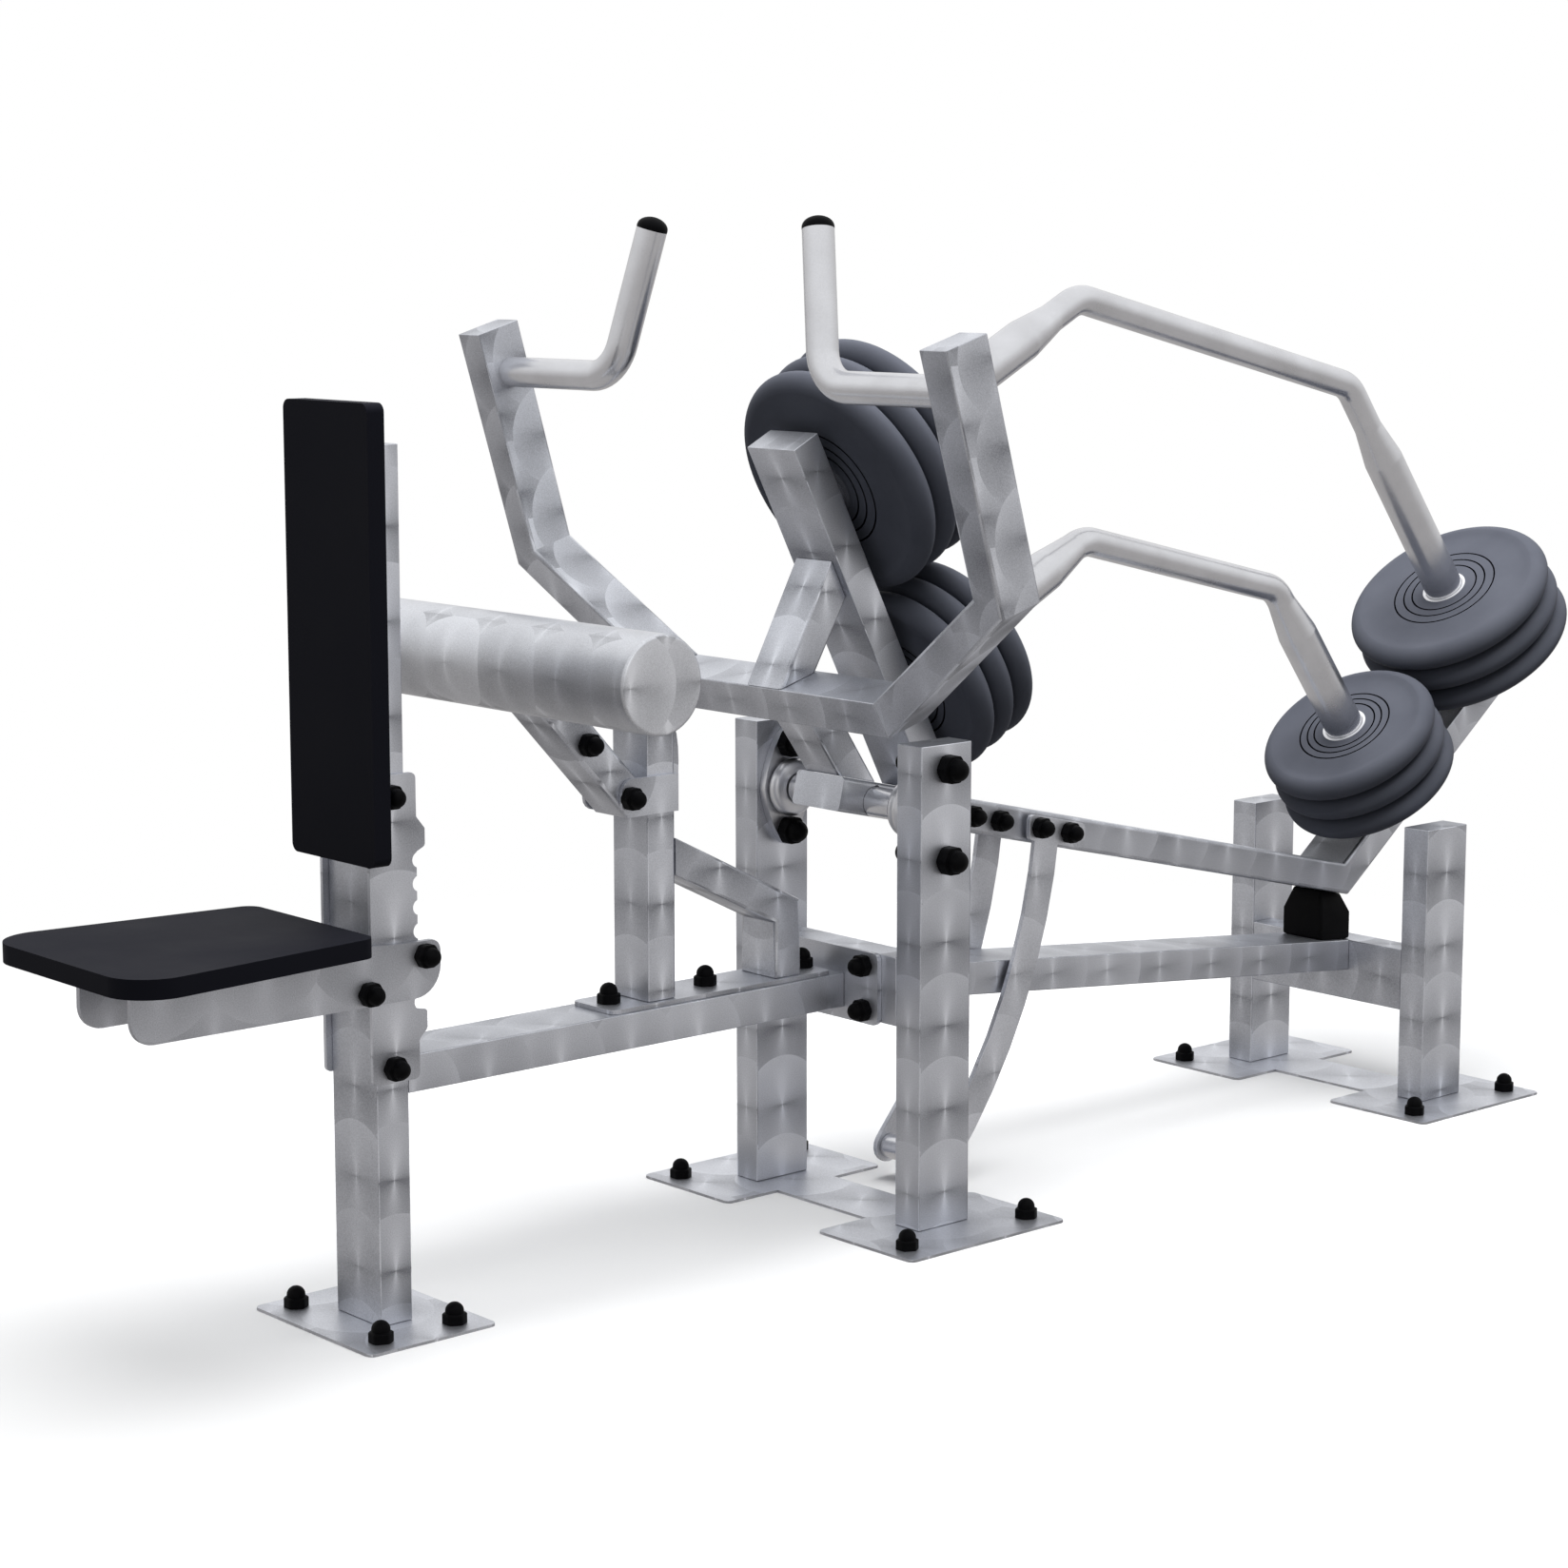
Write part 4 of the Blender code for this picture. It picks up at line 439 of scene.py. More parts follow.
plate_top, plate_ease, plate_corner = 0.004, 0.0006, 0.010
plate_half_x, plate_half_y, pad_x, bridge_half_y = 0.2935, 0.153, 0.0975, 0.0565
front_y, main_y, rear_y = -0.845, 0.0, 1.1268
half_outline = [(plate_half_x, -plate_half_y), (plate_half_x, plate_half_y), (pad_x, plate_half_y),
                (pad_x, bridge_half_y), (-pad_x, bridge_half_y), (-pad_x, plate_half_y)]
h_shape = rounded(half_outline + [(-x, -y) for x, y in half_outline],
                  [plate_corner, plate_corner, plate_corner, 0, 0, plate_corner] * 2)
for plate_name, plate_y in (("main_base_plate", main_y), ("rear_base_plate", rear_y)):
    galvanised_plate(plate_name, [(p.x, p.y + plate_y) for p in h_shape], plan, 0.0, plate_top, plate_ease,
                     [(-0.3, plate_y, 0), (0.3, plate_y, 0)], "frame", plate_name)
square = [(-0.135, front_y - 0.1), (0.135, front_y - 0.1), (0.135, front_y + 0.1), (-0.135, front_y + 0.1)]
galvanised_plate("front_base_plate", rounded(square, [plate_corner] * 4), plan, 0.0, plate_top, plate_ease,
                 [(-0.15, front_y, 0), (0.15, front_y, 0)], "frame", "front_base_plate")


def mottle_group():
    """Two shades in soft clouds, with a fine grain and a roughness that follows the clouds."""
    group, take, give = node_group(
        "mottle", {"Place": "Vector", "Cloud Scale": 10.0, "Cloud Detail": 5.0, "Grain Scale": 500.0,
                   "Grain Detail": 2.0, "Cloud Share": 1.0, "Grain Share": 0.0, "Lift": 0.0,
                   "Dark": "Color", "Light": "Color", "Rough Thin": 0.5, "Rough Thick": 0.6},
        {"Colour": "Color", "Roughness": "Float", "Grain": "Float"})
    cloud = noise(group, take["Place"], take["Cloud Scale"], take["Cloud Detail"])
    grain = noise(group, take["Place"], take["Grain Scale"], take["Grain Detail"])
    shade = calc(group, "MULTIPLY_ADD", cloud, take["Cloud Share"], take["Lift"])
    shade = calc(group, "MULTIPLY_ADD", grain, take["Grain Share"], shade)
    rough = remap(group, cloud, 0.3, 0.7, take["Rough Thin"], take["Rough Thick"])
    group.links.new(blend(group, shade, take["Dark"], take["Light"]), give["Colour"])
    group.links.new(rough, give["Roughness"])
    group.links.new(grain, give["Grain"])
    return group


mottle = mottle_group()


def mottled(name, dark, light, rough, cloud, grain=None, shares=(1.0, 0.0, 0.0), specular=0.5,
            metallic=0.0):
    """Finish in two shades. cloud is a scale and a detail; grain is a scale, a detail and its
    relief's strength and depth; shares are those of cloud and grain in the shade, and a lift."""
    finish, tree, shader, place = new_finish(name)
    own = {"Place": place, "Cloud Scale": cloud[0], "Cloud Detail": cloud[1], "Cloud Share": shares[0],
           "Grain Share": shares[1], "Lift": shares[2], "Dark": dark + (1.0,), "Light": light + (1.0,),
           "Rough Thin": rough[0], "Rough Thick": rough[1]}
    shades = node(tree, "ShaderNodeGroup", own, node_tree=mottle)
    tree.links.new(shades.outputs["Colour"], shader.inputs["Base Color"])
    tree.links.new(shades.outputs["Roughness"], shader.inputs["Roughness"])
    if grain:
        scale, detail, strength, depth = grain
        shades.inputs["Grain Scale"].default_value = scale
        shades.inputs["Grain Detail"].default_value = detail
        relief = {"Height": shades.outputs["Grain"], "Strength": strength, "Distance": depth}
        tree.links.new(node(tree, "ShaderNodeBump", relief).outputs[0], shader.inputs["Normal"])
    shader.inputs["Specular IOR Level"].default_value = specular
    shader.inputs["Metallic"].default_value = metallic
    return finish


cap_black = mottled("cap_black", (0.0006, 0.0006, 0.0009), (0.0016, 0.0016, 0.0022), (0.48, 0.62),
                    (40.0, 5.0), (850.0, 3.0, 0.2, 0.0003), specular=0.07)


def cross_axes(out):
    """Two directions square to out, the first of them level."""
    level = Vector((0, 0, 1)) if abs(out.z) < 0.9 else Vector((0, 1, 0))
    first = level.cross(out).normalized()
    return first, out.cross(first)


def bolt_caps(name, body, feet, scale=1.0):
    """Push-on hexagonal caps with domed ends, one for each (foot, direction)."""
    hexagon, dome = 0.0165 * scale, 0.0124 * scale
    skirt, rise = 0.0134 * scale, 0.0118 * scale
    neck = skirt + 0.0032 * scale
    sides, dome_steps = 36, 7
    levels = [(hexagon, 0.0002, 1.0), (hexagon, skirt - 0.0012, 1.0), (hexagon - 0.0012, skirt, 1.0),
              (dome + 0.0007, skirt + 0.0001, 0.0), (dome, skirt + 0.0008, 0.0), (dome, neck, 0.0)]
    for step in range(1, dome_steps):
        angle = math.pi / 2 * step / dome_steps
        levels.append((dome * math.cos(angle), neck + rise * math.sin(angle), 0.0))
    shape = bmesh.new()
    for foot, out in feet:
        foot, out = Vector(foot), Vector(out).normalized()
        first, second = cross_axes(out)
        rings = []
        for radius, height, hexed in levels:
            ring = []
            for i in range(sides):
                angle = math.tau * i / sides
                flat = math.cos(math.pi / 6) / math.cos(angle % (math.pi / 3) - math.pi / 6)
                reach = radius * (1 + (min(flat * 1.045, 1.0) - 1) * hexed)
                spot = foot + out * height + (first * math.cos(angle) + second * math.sin(angle)) * reach
                ring.append(shape.verts.new(spot))
            rings.append(ring)
        join_rings(shape, rings + [[shape.verts.new(foot + out * (neck + rise))]])
        shape.faces.new(rings[0][::-1])
    return fit(finish_mesh(name, shape, 40.0), cap_black, body, "black_rubber")


def both(feet):
    """Add each foot's mirror image on the left side."""
    return feet + [((-x, y, z), (-a, b, c)) for (x, y, z), (a, b, c) in feet]


anchor_feet = [((0.2475, y + s * 0.118, plate_top), (0, 0, 1)) for y in (main_y, rear_y) for s in (-1, 1)]
anchor_feet += [((0.0975, front_y + s * 0.058, plate_top), (0, 0, 1)) for s in (-1, 1)]
bolt_caps("anchor_caps", "frame", both(anchor_feet))


# Columns and cross beams. Welded rectangular tube, 100 x 50 mm, closed with flat plates;
# each piece is the CAD tube with its sawn rims eased by the zinc.

def tighten_corners(shape, share):
    """Draw the rounded long corners of a tube in to a share of their radius."""
    shortest, longest = 0.0035, 0.0062

    def is_facet(edge):
        return shortest < edge.calc_length() < longest

    strips = {face for face in shape.faces if len(face.verts) == 4
              and is_facet(min(face.edges, key=lambda edge: edge.calc_length()))}
    moved = {}
    for vert in shape.verts:
        short = [e for e in vert.link_edges if is_facet(e) and any(face in strips for face in e.link_faces)]
        if len(short) != 2:
            continue
        ends = [e.other_vert(vert) for e in short]
        flanks = [[e for e in end.link_edges if not any(face in strips for face in e.link_faces)]
                  for end in ends]
        if len(flanks[0]) != 1 or len(flanks[1]) != 1:
            continue
        far = [flank[0].other_vert(end).co for flank, end in zip(flanks, ends)]
        crossing = geometry.intersect_line_line(far[0], ends[0].co, far[1], ends[1].co)
        if crossing:
            for spot in (vert, ends[0], ends[1]):
                moved[spot] = crossing[0].lerp(spot.co, share)
    for vert, place in moved.items():
        vert.co = place


def eased_tube(name, route, body, ease=0.0012, finish=tube_steel, caps=(), corners=0.3, **brush):
    """The CAD tube with merged faces, eased rims and the brush's sweeps along it.
    Its plain bolt caps are left out where finer black ones stand."""
    cap_lift, cap_reach, merge = 0.0003, 0.024, 0.00001
    flat_enough, rim_angle = math.radians(1.0), math.radians(62)
    shape = bmesh.new()
    shape.from_mesh(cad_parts[name].data)
    shape.transform(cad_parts[name].matrix_world)
    spare = set()
    for foot, out in caps:
        foot, out = Vector(foot), Vector(out)
        for vert in shape.verts:
            rise = (vert.co - foot).dot(out)
            if rise > cap_lift and (vert.co - foot - out * rise).length < cap_reach:
                spare.add(vert)
    bmesh.ops.delete(shape, geom=list(spare), context="VERTS")
    bmesh.ops.remove_doubles(shape, verts=shape.verts, dist=merge)
    bmesh.ops.dissolve_limit(shape, angle_limit=flat_enough, verts=shape.verts, edges=shape.edges)
    if corners < 1.0:
        tighten_corners(shape, corners)
    rims = [e for e in shape.edges if len(e.link_faces) == 2 and e.calc_face_angle() > rim_angle
            and e.calc_length() > ease]
    bmesh.ops.bevel(shape, geom=rims, offset=ease, segments=2, profile=0.5, affect="EDGES",
                    clamp_overlap=True)
    tube = lay_sweep(finish_mesh(name + "_skin", shape), route, **brush)
    return fit(tube, finish, body, "galvanised_steel", name)


hands = ((1, "right"), (-1, "left"))
pivot_z, bearing_pitch, large_cap = 0.6, 0.065, 1.29
column_x, column_face, rear_column_x = 0.175, 0.200, 0.1827
for sign, label in hands:
    bearing_bolts = [((sign * column_face, main_y, pivot_z + s * bearing_pitch), (sign, 0, 0))
                     for s in (-1, 1)]
    eased_tube("main_column_" + label, [(sign * column_x, main_y, 0.0), (sign * column_x, main_y, 0.7)],
               "frame", caps=bearing_bolts)
    bolt_caps("column_bolt_caps_" + label, "frame", bearing_bolts, large_cap)
    eased_tube("rear_column_" + label,
               [(sign * rear_column_x, rear_y, 0), (sign * rear_column_x, rear_y, 0.45)], "frame")
eased_tube("main_cross_beam", [(-0.15, -0.025, 0.344), (0.15, -0.025, 0.344)], "frame")
eased_tube("rear_cross_beam", [(-0.16, 1.1018, 0.2), (0.16, 1.1018, 0.2)], "frame")


# Front post, front beam and flange. The post carries the pad and the racks; the beam runs
# back to a flange that is bolted to the main cross beam.

eased_tube("front_post", [(0, front_y, 0.0), (0, front_y, 1.145)], "frame")
eased_tube("front_beam", [(0, -0.83, 0.332), (0, -0.05, 0.332)], "frame", aside=0.034, tone=-0.09, glow=0.75)
flange_corners = [(-0.12, 0.29), (0.12, 0.29), (0.12, 0.395), (-0.12, 0.395)]
galvanised_plate("beam_flange_plate", rounded(flange_corners, [plate_corner] * 4), front, 0.0503, 0.058,
                 0.0007, [(-0.13, -0.054, 0.3425), (0.13, -0.054, 0.3425)], "frame", "beam_flange")
bolt_caps("flange_caps", "frame", both([((0.0925, -0.058, z), (0, -1, 0)) for z in (0.310, 0.375)]))


# Rear beam and buffer. The beam slopes down to the rear columns; a black rubber block on
# it takes the lever's knee.

eased_tube("rear_beam", [(0, 0.0, 0.3314), (0, 1.0768, 0.2248)], "frame", tone=-0.03, glow=0.6)
eased_tube("rubber_buffer", [(0, 1.05, 0.24), (0, 1.05, 0.34)], "frame", 0.004, cap_black, corners=1.0)


# Foot drum and its support. A closed 130 mm drum across the machine for the feet, on a
# column, a sloping bracket with gussets and a bent strut, bolted to the front beam.

def turn_of(shape, centre, first, second, radius, sides):
    """One turn of vertices about a centre."""
    return [shape.verts.new(centre + (first * math.cos(math.tau * i / sides)
                                      + second * math.sin(math.tau * i / sides)) * radius)
            for i in range(sides)]


def lathe(name, profile, foot, along, sides=96, closed=False):
    """Turned piece: (radius, height) steps about an axis; zero radius closes an end."""
    foot, along = Vector(foot), Vector(along).normalized()
    first, second = cross_axes(along)
    shape = bmesh.new()
    rings = []
    for radius, height in profile:
        centre = foot + along * height
        rings.append(turn_of(shape, centre, first, second, radius, sides) if radius
                     else [shape.verts.new(centre)])
    join_rings(shape, rings, closed)
    return finish_mesh(name, shape)


def arc(centre_radius, centre_height, size, start, end, steps=5):
    """Part of a rounded rim, as (radius, height) steps; angles in degrees."""
    points = []
    for step in range(steps + 1):
        angle = math.radians(start + (end - start) * step / steps)
        points.append((centre_radius + size * math.cos(angle), centre_height + size * math.sin(angle)))
    return points


drum_radius, drum_half, drum_rim = 0.065, 0.307, 0.0045
drum_y, drum_z = -0.603, 0.845
profile = [(0, -drum_half), (0.02, -drum_half), (0.04, -drum_half)]
profile += arc(drum_radius - drum_rim, -drum_half + drum_rim, drum_rim, -90, 0)
profile += [(drum_radius, drum_half * share) for share in (-0.6, -0.3, 0.0, 0.3, 0.6)]
profile += arc(drum_radius - drum_rim, drum_half - drum_rim, drum_rim, 0, 90)
profile += [(0.04, drum_half), (0.02, drum_half), (0, drum_half)]
drum_steel = galvanised("galvanised_drum", (0.88, 0.900, 0.950, 1.0), (0.330, 0.336, 0.360, 1.0),
                        0.120, 0.074, 0.070, 0.38)
drum = lathe("cross_drum_skin", profile, (0, drum_y, drum_z), (1, 0, 0))
lay_sweep(drum, [(-drum_half, drum_y, drum_z), (drum_half, drum_y, drum_z)], turned=True, end_slip=0.052)
fit(drum, drum_steel, "frame", "galvanised_steel", "cross_drum")
eased_tube("drum_column", [(0, -0.385, 0.36), (0, -0.385, 0.81)], "frame")
eased_tube("drum_strut", [(0, -0.36, 0.577), (0, -0.1545, 0.47), (0, -0.1545, 0.36)], "frame")
bracket_bolts = both([((0.0375, -0.512, 0.731), (1, 0, 0))]) + [((0.0438, -0.445, 0.652), (1, 0, 0))]
eased_tube("drum_bracket", [(0, -0.56, 0.78), (0, -0.43, 0.645)], "frame", 0.0008, caps=bracket_bolts,
           corners=1.0)
strip_top = 0.3633
strip_corners = [(-0.045, -0.479), (0.045, -0.479), (0.045, -0.078), (-0.045, -0.078)]
galvanised_plate("drum_base_strip_plate", rounded(strip_corners, [plate_corner] * 4), plan, 0.3573, strip_top,
                 0.0006, [(0, -0.48, 0.36), (0, -0.07, 0.36)], "frame", "drum_base_strip")
bolt_caps("strip_caps", "frame", [((0, y, strip_top), (0, 0, 1)) for y in (-0.450, -0.277, -0.095)])
bolt_caps("bracket_caps", "frame", bracket_bolts)


# Chest pad. A flat black board with softly rounded edges, moulded in one and screwed to the
# front of the post.

board_black = mottled("board_black", (0.0060, 0.0062, 0.0096), (0.0100, 0.0104, 0.0150), (0.60, 0.70),
                      (7.0, 6.0), (420.0, 2.0, 0.25, 0.0004), specular=0.055)
pad_corners = [(-0.093, 0.616), (0.093, 0.616), (0.093, 1.199), (-0.093, 1.199)]
pad = slab("chest_pad_board", rounded(pad_corners, [0.012] * 4, 10), front, 0.8703, 0.8963, 0.005, 4)
fit(pad, board_black, "frame", "pad_plastic", "chest_pad")


# Racks. Two 6 mm plates beside the post with seven round notches between an upper and a
# lower hook; the seat's rear rod hangs in one of them.

def rack_outline():
    back_y, edge_y, hook_y = -0.879, -0.806, -0.793
    notch_radius, notch_y, notch_pitch, top_notch, notch_steps = 0.0105, -0.8025, 0.031, 0.613, 16
    corners = [((back_y, 0.326), 0.008), ((edge_y, 0.326), 0.008), ((edge_y, 0.378), 0.003),
               ((hook_y, 0.391), 0.004), ((hook_y, 0.416), 0.004)]
    reach = math.acos((notch_y - edge_y) / notch_radius)
    for index in range(6, -1, -1):
        middle = top_notch - index * notch_pitch
        for step in range(notch_steps + 1):
            angle = math.pi + reach - 2 * reach * step / notch_steps
            spot = (notch_y + notch_radius * math.cos(angle), middle + notch_radius * math.sin(angle))
            corners.append((spot, 0))
    corners += [((edge_y, 0.6247), 0), ((hook_y, 0.630), 0.004), ((hook_y, 0.653), 0.004),
                ((edge_y, 0.669), 0.003), ((edge_y, 0.727), 0.008), ((-0.870, 0.727), 0.008),
                ((-0.870, 0.612), 0), ((back_y, 0.612), 0.004)]
    return rounded([spot for spot, radius in corners], [radius for spot, radius in corners], 4)


rack_inner, rack_outer = 0.0503, 0.0563
for sign, label in hands:
    low, high = sorted((sign * rack_inner, sign * rack_outer))
    galvanised_plate("rack_plate_" + label + "_skin", rack_outline(), side, low, high, 0.0006,
                     [(sign * 0.053, -0.843, 0.32), (sign * 0.053, -0.843, 0.73)], "frame",
                     "rack_plate_" + label)
bolt_caps("rack_caps", "frame", both([((rack_outer, -0.847, z), (1, 0, 0)) for z in (0.346, 0.699)]))


# Seat. A black board on two 8 mm arms, joined by two bright rods: one stands against the
# post's front, the other hooks into the racks.

hook_rod, front_rod, rod_radius, rod_half = (-0.8025, 0.489), (-0.8895, 0.451), 0.010, 0.0563
arm_inner, arm_outer = 0.0566, 0.0646
arm_corners = [(-1.234, 0.434), (-0.777, 0.434), (-0.777, 0.508), (-0.830, 0.508), (-0.950, 0.5157),
               (-1.234, 0.5157)]
arm_outline = rounded(arm_corners, [0.030, 0.040, 0.014, 0, 0, 0])
for sign, label in hands:
    low, high = sorted((sign * arm_inner, sign * arm_outer))
    galvanised_plate("seat_arm_" + label + "_skin", arm_outline, side, low, high, 0.0007,
                     [(sign * 0.06, -1.25, 0.475), (sign * 0.06, -0.77, 0.475)], "seat",
                     "seat_arm_" + label, aside=-0.050, tone=-0.13, glow=0.5)
bolt_caps("seat_caps", "seat", both([((arm_outer, y, z), (1, 0, 0)) for y, z in (hook_rod, front_rod)]))
seat_corners = [(-0.1838, -1.296), (0.1838, -1.296), (0.1412, -0.9275), (-0.1412, -0.9275)]
seat_outline = rounded(seat_corners, [0.060, 0.060, 0.022, 0.022], 14)
seat = slab("seat_board_skin", seat_outline, plan, 0.516, 0.541, 0.0065, 4)
fit(seat, board_black, "seat", "pad_plastic", "seat_board")


def smooth_zinc(name, rough):
    """Drawn or cast zinc surface without brush marks: clouds and a fine speckle."""
    return mottled(name, (0.54, 0.540, 0.560), (0.79, 0.800, 0.835), (rough + 0.03, rough - 0.03),
                   (14.0, 5.0), (480.0, 2.0, 0.25, 0.0003), (0.9, 0.35, -0.12), metallic=0.95)


bright_zinc = smooth_zinc("bright_zinc", 0.25)


def plain_rod(name, centre, radius, half, ease, body, *nodes):
    profile = [(0, -half)] + arc(radius - ease, -half + ease, ease, -90, 0, 3)
    profile += arc(radius - ease, half - ease, ease, 0, 90, 3) + [(0, half)]
    return fit(lathe(name, profile, centre, (1, 0, 0), 48), bright_zinc, body, "bright_steel", *nodes)


for rod_name, place in (("seat_hook_rod", hook_rod), ("seat_front_rod", front_rod)):
    plain_rod(rod_name + "_skin", (0,) + place, rod_radius, rod_half, 0.001, "seat", rod_name)


# Bearings. Two-bolt flange housings with a domed body and a shaft collar, cast and bolted to
# the columns' inner faces.

cast_zinc = smooth_zinc("cast_zinc", 0.36)
bearing_face, ear_thick, ear_steps, ear_reach = 0.1497, 0.012, 96, 0.087
ears = []
for step in range(ear_steps):
    angle = math.tau * step / ear_steps
    rise = math.sin(angle)
    ear = 0.022 + 0.023 * (1 - abs(rise)) ** 0.5
    ears.append((ear * math.cos(angle), pivot_z + ear_reach * rise))
housing = [(0.0128, 0.0119), (0.0345, 0.0119), (0.0345, 0.0140)] + arc(0.0325, 0.0235, 0.0105, -62, 82, 10)
housing += [(0.0300, 0.0352), (0.0235, 0.0352), (0.0225, 0.0340), (0.0128, 0.0340)]
for sign, label in hands:
    low, high = sorted((sign * (bearing_face - ear_thick), sign * bearing_face))
    fit(slab("bearing_" + label + "_flange", ears, side, low, high, 0.0012), cast_zinc, "frame",
        "bright_steel", "bearing_" + label)
    fit(lathe("bearing_" + label + "_housing", housing, (sign * bearing_face, 0, pivot_z), (-sign, 0, 0), 72,
              closed=True), cast_zinc, "frame", "bright_steel")
bearing_nuts = both([((0.1377, 0, pivot_z + s * bearing_pitch), (-1, 0, 0)) for s in (-1, 1)])
bolt_caps("bearing_caps", "frame", bearing_nuts, large_cap)


# Pivot shaft. A turned 44 mm steel shaft through the lever's beam, stepped down at both ends
# for the bearings.

shaft = [(0, -0.1477), (0.0115, -0.1477), (0.0123, -0.1469), (0.0123, -0.1127), (0.0208, -0.1127),
         (0.022, -0.1115)]
shaft = shaft + [(r, -h) for r, h in reversed(shaft)]
fit(lathe("pivot_shaft_skin", shaft, (0, 0, pivot_z), (1, 0, 0), 64), bright_zinc, "lever", "bright_steel",
    "pivot_shaft")


# Lever. Welded 100 x 50 mm tube: a beam with an upturned end, a post for the weight tubes,
# and a leg and a brace that carry the handle frame.

lever_bolts = both([((0.050, y, z), (1, 0, 0)) for y, z in ((0.19528, 0.55706), (0.25177, 0.54391))])
eased_tube("lever_beam", [(0, -0.0643, 0.6175), (0, 1.068, 0.35397), (0, 1.5454, 0.7203)], "lever",
           caps=lever_bolts, aside=-0.028, tone=-0.07, glow=0.65)
eased_tube("lever_post", [(0, 0.1395, 0.59571), (0, -0.1328, 1.121)], "lever")
eased_tube("lever_leg", [(0, 0.003, 0.6), (0, -0.1007, 0.7487)], "lever")
eased_tube("lever_brace", [(0, -0.147, 0.7918), (0, -0.067, 0.9375)], "lever")
bolt_caps("lever_caps", "lever", lever_bolts)


# Handle frame. A cross member and two bent arms of 75 x 50 mm tube, mitred and welded
# together, galvanised and swept like the lever.

eased_tube("cross_member", [(-0.24, -0.1268, 0.7616), (0.24, -0.1268, 0.7616)], "lever", glow=0.6)
for sign, label in hands:
    arm_route = [(sign * 0.235, -0.1268, 0.7616), (sign * 0.490, -0.1786, 0.9371),
                 (sign * 0.490, -0.2780, 1.2712)]
    eased_tube("handle_arm_" + label, arm_route, "lever", aside=0.052)


# Grips. Bright 44 mm steel tube bent upwards and welded into the arms, with soft black plugs
# in the open ends.

def round_bar(name, route, radii, bend, sides=40, steps=10):
    """Round tube through a route, its turns made on the bend radius."""
    route = [Vector(p) for p in route]
    stations = []
    for index, point in enumerate(route):
        before = (point - route[index - 1]).normalized() if index else None
        after = (route[index + 1] - point).normalized() if index + 1 < len(route) else None
        if before is None or after is None or before.length == 0 or before.angle(after) < 0.06:
            stations.append((point, after if before is None else before, radii[index]))
            continue
        turn = before.angle(after)
        pole = before.cross(after).normalized()
        start = point - before * (bend * math.tan(turn / 2))
        centre = start + pole.cross(before) * bend
        for step in range(steps + 1):
            spin = Matrix.Rotation(turn * step / steps, 3, pole)
            stations.append((centre + spin @ (start - centre), spin @ before, radii[index]))
    shape = bmesh.new()
    rings = []
    first = stations[0][1].orthogonal().normalized()
    for place, along, radius in stations:
        first = (first - along * first.dot(along)).normalized()
        rings.append(turn_of(shape, place, first, along.cross(first), radius, sides))
    join_rings(shape, rings)
    shape.faces.new(rings[0][::-1])
    shape.faces.new(rings[-1])
    return finish_mesh(name, shape)


grip_radius, grip_bend, plug_radius, plug_skirt, plug_rise = 0.022, 0.060, 0.0222, 0.003, 0.015
grip_y, grip_z = -0.255, 1.206
dome = [(0, 0.0003), (plug_radius, 0.0003), (plug_radius, plug_skirt)]
for degrees in range(10, 90, 10):
    angle = math.radians(degrees)
    dome.append((plug_radius * math.cos(angle), plug_skirt + plug_rise * math.sin(angle)))
dome.append((0, 0.018))
for sign, label in hands:
    corner, top = Vector((sign * 0.222, grip_y, grip_z)), Vector((sign * 0.175, -0.223, 1.412))
    grip = round_bar("handle_" + label + "_skin", [(sign * 0.4647, grip_y, grip_z), corner, top],
                     [grip_radius] * 3, grip_bend)
    fit(grip, bright_zinc, "lever", "bright_steel", "handle_" + label)
    plug = lathe("handle_cap_" + label + "_skin", dome, top, top - corner, 48)
    fit(plug, cap_black, "lever", "black_rubber", "handle_cap_" + label)


# Weight tubes. Two bent steel tubes whose thick ends carry the discs; they neck down to
# the thinner middle, and a collar at each foot stops the discs.

near_side, far_side = Vector((0, 0.88782, 0.46020)), Vector((0, -0.60876, 0.79335))


def weight_tube(name, near, near_corner, far_corner, far, thick_near, thick_far, collar, node_name):
    thick, thin, taper, crease, bend = 0.032, 0.0225, 0.068, 0.002, 0.060
    ring, bore, edge, lift = 0.044, 0.031, 0.0015, 0.0003
    slope = (thick - thin) / taper
    ends = (("near", Vector(near), near_side, thick_near, near_corner),
            ("far", Vector(far), far_side, thick_far, far_corner))
    route = []
    for label, foot, out, reach, corner in ends:
        half = [(collar * 0.5, thick), (reach - crease, thick), (reach + crease, thick - slope * crease),
                (reach + taper - crease, thin + slope * crease), (reach + taper + crease, thin)]
        half = [(foot + out * along, radius) for along, radius in half] + [(Vector(corner), thin)]
        route += half if label == "near" else half[::-1]
    tube = round_bar(name, [p for p, r in route], [r for p, r in route], bend, 48)
    fit(tube, bright_zinc, "lever", "bright_steel", node_name)
    turned = [(bore, lift), (ring - edge, lift), (ring, lift + edge), (ring, collar - edge),
              (ring - edge, collar), (bore, collar)]
    for label, foot, out, reach, corner in ends:
        fit(lathe(name + "_collar_" + label, turned, foot, out, 64, closed=True), bright_zinc, "lever",
            "bright_steel")


weight_tube("upper_tube", (0, -0.06288, 1.04046), (0, 0.46026, 1.31164), (0, 1.0998, 1.16281),
            (0, 1.46343, 0.68891), 0.457, 0.441, 0.0185, "upper_weight_tube")
weight_tube("lower_tube", (0, 0.09027, 0.745), (0, 0.47762, 0.94578), (0, 0.92711, 0.84118),
            (0, 1.19941, 0.48631), 0.346, 0.351, 0.0130, "lower_weight_tube")


# Weight discs. Moulded charcoal rubber over an iron core, with a fat rounded rim, a
# shallow dish, three fine grooves round the hub and a bright steel bush in the bore.

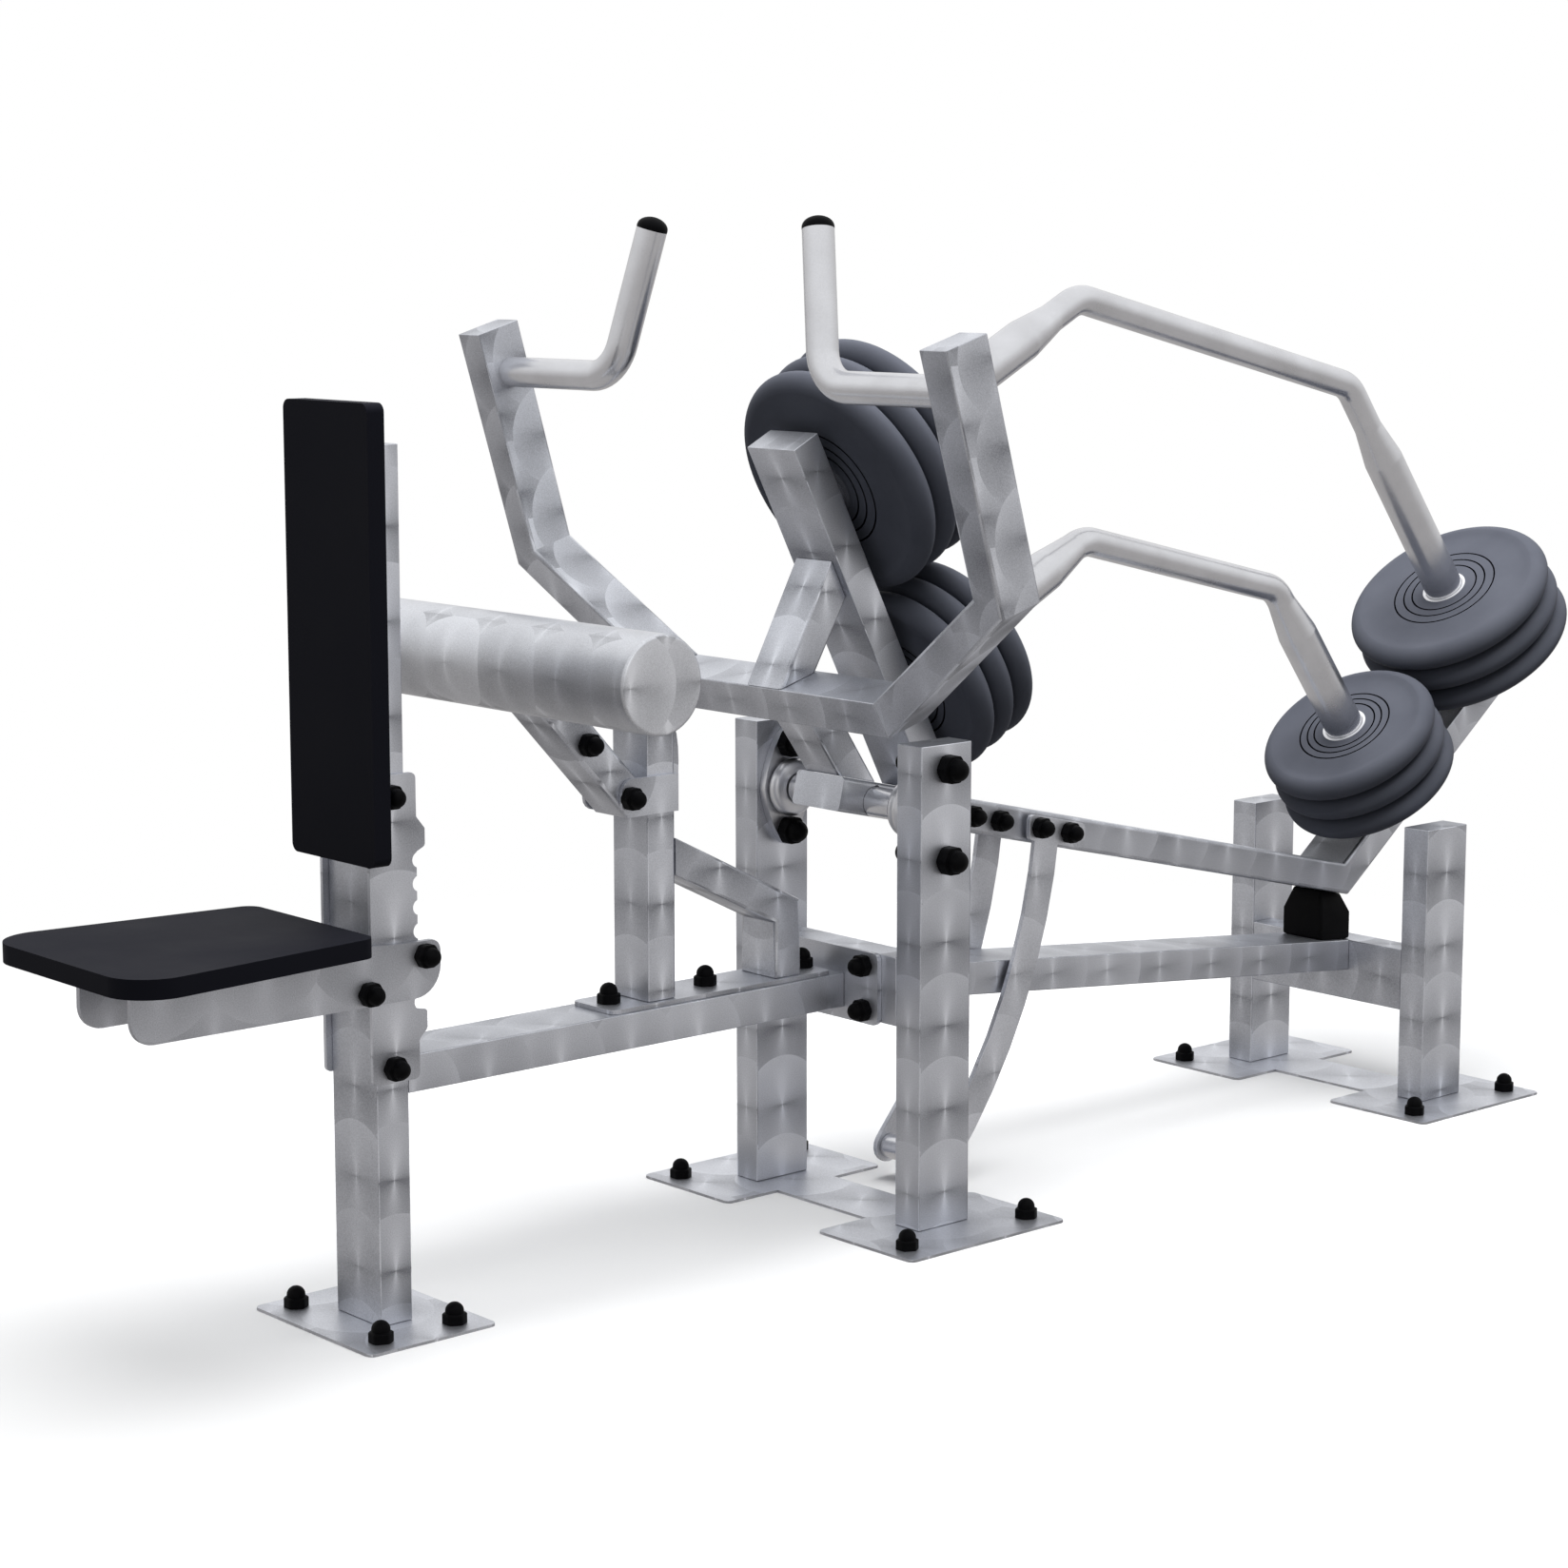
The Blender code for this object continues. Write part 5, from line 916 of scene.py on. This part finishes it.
disc_rubber = mottled("disc_rubber", (0.073, 0.078, 0.098), (0.122, 0.129, 0.155), (0.55, 0.68),
                      (11.0, 6.0), (520.0, 3.0, 0.3, 0.0004), specular=0.06)
bush_steel = mottled("bush_steel", (0.74, 0.75, 0.78), (0.92, 0.92, 0.94), (0.30, 0.40), (160.0, 3.0),
                     metallic=0.55)
# The groove faces get a near-black painted shade with no shine, for the shade down in the grooves.
groove_black, tree, shader, place = new_finish("groove_black")
grit = noise(tree, place, 300.0, 2.0)
tree.links.new(remap(tree, grit, 0.3, 0.7, 0.75, 0.90), shader.inputs["Roughness"])
shader.inputs["Base Color"].default_value = (0.002, 0.002, 0.003, 1.0)
shader.inputs["Specular IOR Level"].default_value = 0.0


def weight_disc(name, out, radius, thick, grooves):
    """A disc turned about its tube, with bush and grooves marked by their distance from it;
    the groove faces take a near-black painted shade.
    """
    half, bore, bush = thick / 2, 0.0325, 0.0375
    flat, dish, shoulder = radius * 0.56, radius * 0.76, radius * 0.865
    hub_fall, groove_deep, dish_deep, rim_steps = 0.0015, 0.0016, 0.0052, 11
    steps = [(bore, half), (bush, half)]
    for middle in grooves:
        level = half - hub_fall * (middle - bush) / (flat - bush)
        steps += [(middle - 0.0014, level), (middle - 0.0012, level - groove_deep),
                  (middle + 0.0012, level - groove_deep), (middle + 0.0014, level)]
    rim = half - 0.0016
    steps += [(flat - 0.003, half - hub_fall), (flat + 0.003, half - 0.0019),
              ((flat + dish) / 2, half - 0.0042), (dish, half - dish_deep),
              (dish + (shoulder - dish) * 0.6, half - 0.0036), (shoulder, rim)]
    for step in range(1, rim_steps + 1):
        angle = math.pi / 2 * (1 - step / rim_steps)
        steps.append((shoulder + (radius - shoulder) * math.cos(angle), rim * math.sin(angle) ** 1.08))
    steps += [(r, -h) for r, h in reversed(steps[:-1])]
    low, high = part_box(name)
    middle = (low + high) / 2
    disc = lathe(name + "_skin", steps, middle, out, 96, closed=True)
    for face in disc.data.polygons:
        spot = face.center - middle
        reach = (spot - out * spot.dot(out)).length
        if reach < bush + 0.0002:
            face.material_index = 1
        elif min(abs(reach - groove) for groove in grooves) < 0.00138 and abs(spot.dot(out)) > half - 0.004:
            face.material_index = 2
    return fit(disc, (disc_rubber, bush_steel, groove_black), name, "disc_rubber", name)


for end, out in (("near", near_side), ("far", far_side)):
    for label in ("inner", "middle", "outer"):
        weight_disc("upper_" + end + "_disc_" + label, out, 0.1745, 0.0462, (0.0570, 0.0720, 0.0887))
        weight_disc("lower_" + end + "_disc_" + label, out, 0.149, 0.0437, (0.0532, 0.0653, 0.0784))


# Stirrup. Two curved 50 x 8 mm flats hang from the lever and catch a bright pin under the
# rear beam, which limits the stroke.

stirrup_x, pin_y, pin_z, pin_radius = 0.06, 0.131, 0.047, 0.0185
stirrup_bolts = both([((0.0638, y, z), (1, 0, 0)) for y, z in ((0.32531, 0.52680), (0.38764, 0.51229))])
for sign, label in hands:
    bar_x = sign * stirrup_x
    eased_tube("stirrup_bar_" + label, [(bar_x, pin_y, pin_z), (bar_x, 0.26, 0.25), (bar_x, 0.34, 0.52)],
               "lever", 0.0006, plate_steel, stirrup_bolts, corners=1.0, glow=0.6)
bolt_caps("stirrup_caps", "lever", stirrup_bolts)
plain_rod("stirrup_pin_skin", (0, pin_y, pin_z), pin_radius, 0.0555, 0.001, "lever", "stirrup_pin")
